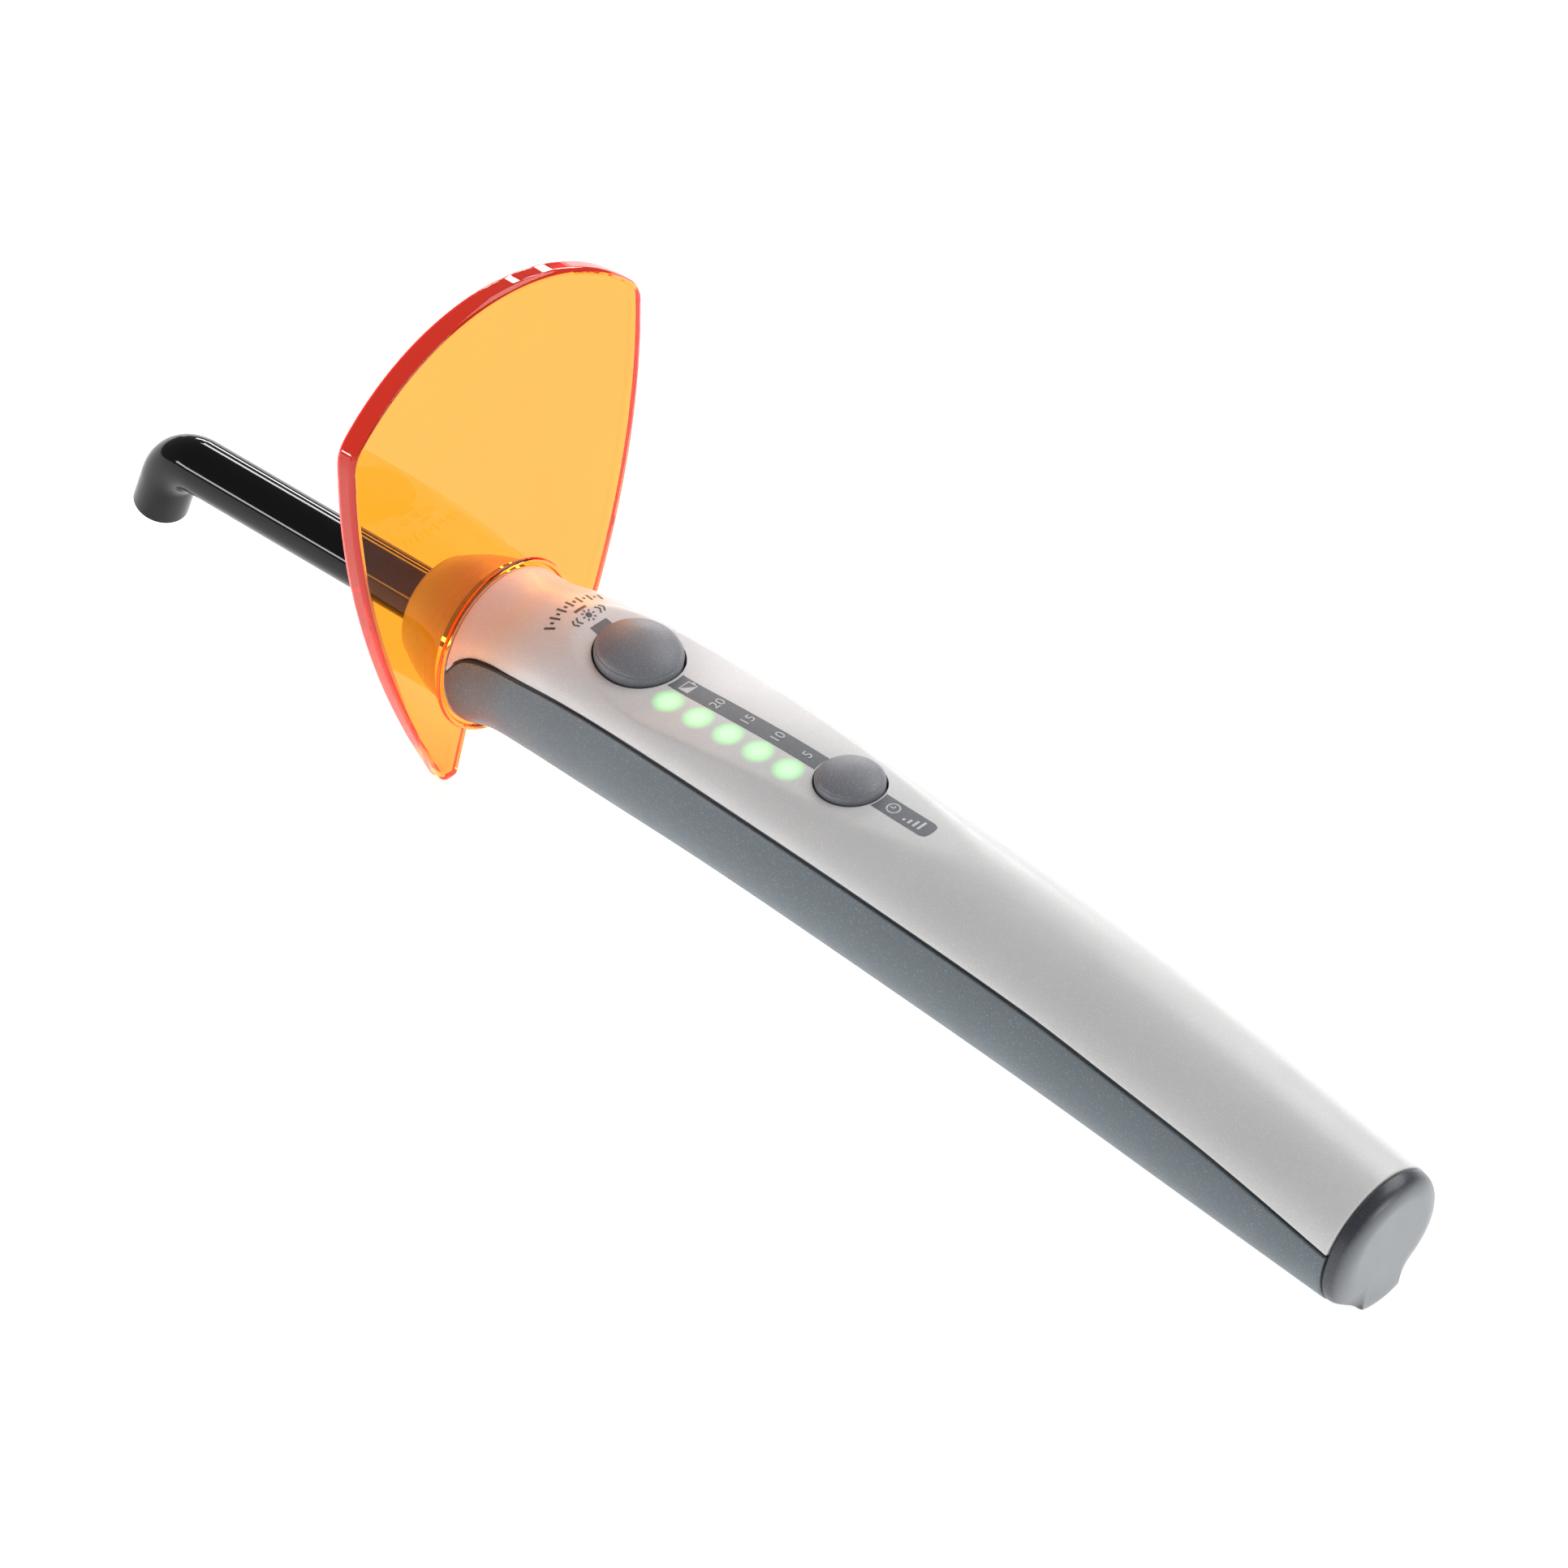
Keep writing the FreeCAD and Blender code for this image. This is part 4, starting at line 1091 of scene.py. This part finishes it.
def make_timer_mark(material):
    """Clock and rising bars on the timer label."""
    clock = circle_strokes(CLOCK_X, CLOCK_RADIUS, CLOCK_LINE)
    for hand in CLOCK_HANDS:
        clock.append(stroke([(CLOCK_X + x, y) for x, y in hand], CLOCK_HAND_LINE))
    for k in range(BAR_COUNT):
        x = BARS_X + BAR_PITCH * k
        clock.append(rectangle(x, x + BAR_WIDTH, BAR_FOOT_Y, BAR_FOOT_Y + BAR_RISE * (k + 1)))
    lay_plates("timer_mark", clock, material, MARK_LIFT)


def make_start_mark(material):
    """Shining lamp between arrows, in front of the start button."""
    lamp = [disc(LAMP_X, LAMP_RADIUS)]
    for turn in turns(RAY_COUNT):
        ray = [(LAMP_X + r * math.cos(turn), r * math.sin(turn)) for r in RAY_ENDS]
        lamp.append(stroke(ray, RAY_LINE))
    for side in (-1, 1):
        for arrow_y in ARROW_Y:
            y = side * arrow_y
            arrow = [(LAMP_X + ARROW_HALF, y), (LAMP_X, y + side * ARROW_POINT), (LAMP_X - ARROW_HALF, y)]
            lamp.append(stroke(arrow, ARROW_LINE))
    lay_plates("start_mark", lamp, material)


def make_pulses(material):
    """Row of long and short pulses in an arc round the start button's front."""
    pulses = []
    arc_radius = START["x"] - PULSE_X
    for k in range(-PULSE_HALF_COUNT, PULSE_HALF_COUNT + 1):
        turn = PULSE_PITCH * k
        tall = PULSE_TALL if k % 2 == 0 else PULSE_SHORT
        radii = (arc_radius - tall, arc_radius + tall)
        line = [(START["x"] - r * math.cos(turn), r * math.sin(turn)) for r in radii]
        pulses.append(stroke(line, PULSE_LINE))
    lay_plates("pulse_mark", pulses, material)


def make_printing(grey, white, dark):
    make_strip(grey)
    make_timer_label(grey)
    make_numbers(white)
    make_battery_mark(white)
    make_timer_mark(white)
    lay_plates("start_bar", [rectangle(*START_BAR)], grey)
    make_start_mark(dark)
    make_pulses(dark)
    lay_plates("pulse_bar", [rectangle(*PULSE_BAR)], dark)


# ---- Building ------------------------------------------------------------------------------------

PEARL = pearl_shell_material()
SLATE = slate_material()
BUTTON_GREY = button_material()
CAP_GREY = cap_material()
PRINT_GREY = print_material("print_grey", (0.175, 0.185, 0.20))
PRINT_DARK = print_material("print_dark", (0.10, 0.105, 0.115))
PRINT_WHITE = print_material("print_white", (0.72, 0.74, 0.76))

SLOT_MATERIALS = {
    "shell_white": PEARL,
    "shell_slate": SLATE,
    "button_grey": BUTTON_GREY,
    "cap_grey": CAP_GREY,
    "shield_orange": orange_material(),
    "guide_black": gloss_black_material(),
    "seam_black": plain_plastic("seam_rubber", (0.012, 0.012, 0.014), rough=0.6),
    "guide_glass": clear_material("fibre_glass", (0.86, 0.90, 0.92), rough=0.03),
    "steel": metal_material("turned_steel", (0.60, 0.60, 0.61), rough=0.25),
    "magnet": metal_material("nickel_plate", (0.66, 0.65, 0.63), rough=0.15),
    "clear_plastic": clear_material("clear_acrylic", (0.95, 0.97, 0.97), rough=0.04),
    "led_yellow": plain_plastic("emitter_cover", (0.80, 0.62, 0.08), rough=0.35),
    "aluminium": metal_material("aluminium", (0.80, 0.81, 0.82), rough=0.32),
    "board_green": plain_plastic("solder_mask", (0.015, 0.13, 0.05), rough=0.3),
    "black_plastic": plain_plastic("black_plastic", (0.02, 0.02, 0.022), rough=0.5),
    "switch_black": plain_plastic("switch_black", (0.03, 0.03, 0.033), rough=0.4),
    "led_green": plain_plastic("indicator_green", (0.25, 0.85, 0.25), rough=0.3),
    "cell_wrap": plain_plastic("cell_wrap", (0.03, 0.11, 0.33), rough=0.28),
    "contact_metal": metal_material("contact_metal", (0.74, 0.70, 0.60), rough=0.28),
}

for subpart in frame["record"]["subparts"]:
    mesh = frame["nodes"][subpart["node"]].data
    mesh.materials.clear()
    mesh.materials.append(SLOT_MATERIALS[subpart["material_slot"]])

upper_skin = make_shell("upper_skin", PEARL, upper=True)
carve(upper_skin, [hole_cutter(START), hole_cutter(TIMER)])
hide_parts("upper_shell")
lower_skin = make_shell("lower_skin", SLATE, upper=False)
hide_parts("lower_shell")

make_button("start_dome", "start_button", START, BUTTON_GREY, taper=0.06)
make_button("timer_dome", "timer_button", TIMER, BUTTON_GREY, taper=0.04)
make_rear_cap(CAP_GREY)
make_printing(PRINT_GREY, PRINT_WHITE, PRINT_DARK)


# ---- Studio --------------------------------------------------------------------------------------
# The camera's place is in the working frame, in mm. The lights and the floor are in the row frame,
# in metres.

CAMERA_AZIMUTH = math.radians(42.738)
CAMERA_ELEVATION = math.radians(38.2)
CAMERA_ROLL = math.radians(0.575)
CAMERA_PLACE = (909.0, -912.5, 982.7)
CAMERA_LENS = 222.06

HANDLE_FRONT = (-0.1, 0.0, 0.03)

# Name, place, aim, width, height and power in watts.
AREA_LIGHTS = (
    ("key", (0.25, 0.85, 0.95), (0.0, 0.0, 0.0), 1.2, 0.8, 10.0),
    ("end_light", (1.1, 0.2, 0.35), (0.1, 0.0, 0.02), 0.5, 0.3, 1.8),
    ("back_strip", (-0.74, 1.00, 0.28), HANDLE_FRONT, 0.7, 0.10, 3.6),
    ("back_strip_high", (-0.74, 0.86, 0.58), HANDLE_FRONT, 0.7, 0.06, 2.2),
    ("front_strip", (-0.74, -1.00, 0.20), HANDLE_FRONT, 0.7, 0.10, 3.6),
    ("front_fill", (0.3, -1.2, 0.2), (0.05, 0.0, 0.02), 0.8, 0.3, 0.7),
)

FLOOR_HALF = 3.0
FLOOR_GAP = 0.0002
FLOOR_TONES = ((0.86, 0.86, 0.86), (0.90, 0.90, 0.90))


def make_camera():
    data = bpy.data.cameras.new("camera")
    data.sensor_width = 36.0
    data.lens = CAMERA_LENS
    data.clip_start = 0.05
    data.clip_end = 20.0
    camera = new_object("camera", data)
    flat = math.cos(CAMERA_ELEVATION)
    back = Vector((
        math.sin(CAMERA_AZIMUTH) * flat,
        -math.cos(CAMERA_AZIMUTH) * flat,
        math.sin(CAMERA_ELEVATION),
    ))
    level = Vector((math.cos(CAMERA_AZIMUTH), math.sin(CAMERA_AZIMUTH), 0))
    right = level * math.cos(CAMERA_ROLL) + back.cross(level) * math.sin(CAMERA_ROLL)
    up = back.cross(right)
    work = Matrix((AXIS_X, AXIS_Y, AXIS_Z)).transposed()
    axes = Matrix((work @ right, work @ up, work @ back)).transposed()
    camera.matrix_world = Matrix.Translation(at(CAMERA_PLACE)) @ axes.to_4x4()
    bpy.context.scene.camera = camera


def area_light(name, place, aim, width, height, watts):
    data = bpy.data.lights.new(name, "AREA")
    data.shape = "RECTANGLE"
    data.size = width
    data.size_y = height
    data.energy = watts
    light = new_object(name, data)
    turn = (Vector(aim) - Vector(place)).to_track_quat("-Z", "Y")
    light.matrix_world = Matrix.Translation(place) @ turn.to_matrix().to_4x4()


def make_floor():
    """Pale floor just below the part, bright enough to stand for the photo's white ground."""
    low = CAD_BOX[0].z - FLOOR_GAP
    corners = [(FLOOR_HALF * x, FLOOR_HALF * y, low) for x, y in ((-1, -1), (1, -1), (1, 1), (-1, 1))]
    mesh = bpy.data.meshes.new("floor")
    mesh.from_pydata(corners, [], [(0, 1, 2, 3)])
    floor = new_object("floor", mesh)
    material, tree, shader, _ = new_material("pale_floor")
    tone = mottle(tree, scale=3.0, detail=2.0)
    fill(tree, shader, {
        "Base Color": mix_colors(tree, tone, *FLOOR_TONES),
        "Roughness": 0.9,
        "Specular IOR Level": 0.1,
        "Emission Color": (1.0, 1.0, 1.0),
        "Emission Strength": 0.8,
    })
    mesh.materials.append(material)


def make_world():
    world = bpy.data.worlds.new("studio")
    world.use_nodes = True
    background = world.node_tree.nodes["Background"]
    fill(world.node_tree, background, {"Color": (0.95, 0.97, 1.0), "Strength": 0.22})
    bpy.context.scene.world = world


make_camera()
make_floor()
make_world()
for light in AREA_LIGHTS:
    area_light(*light)
bpy.context.scene.view_settings.view_transform = "Standard"
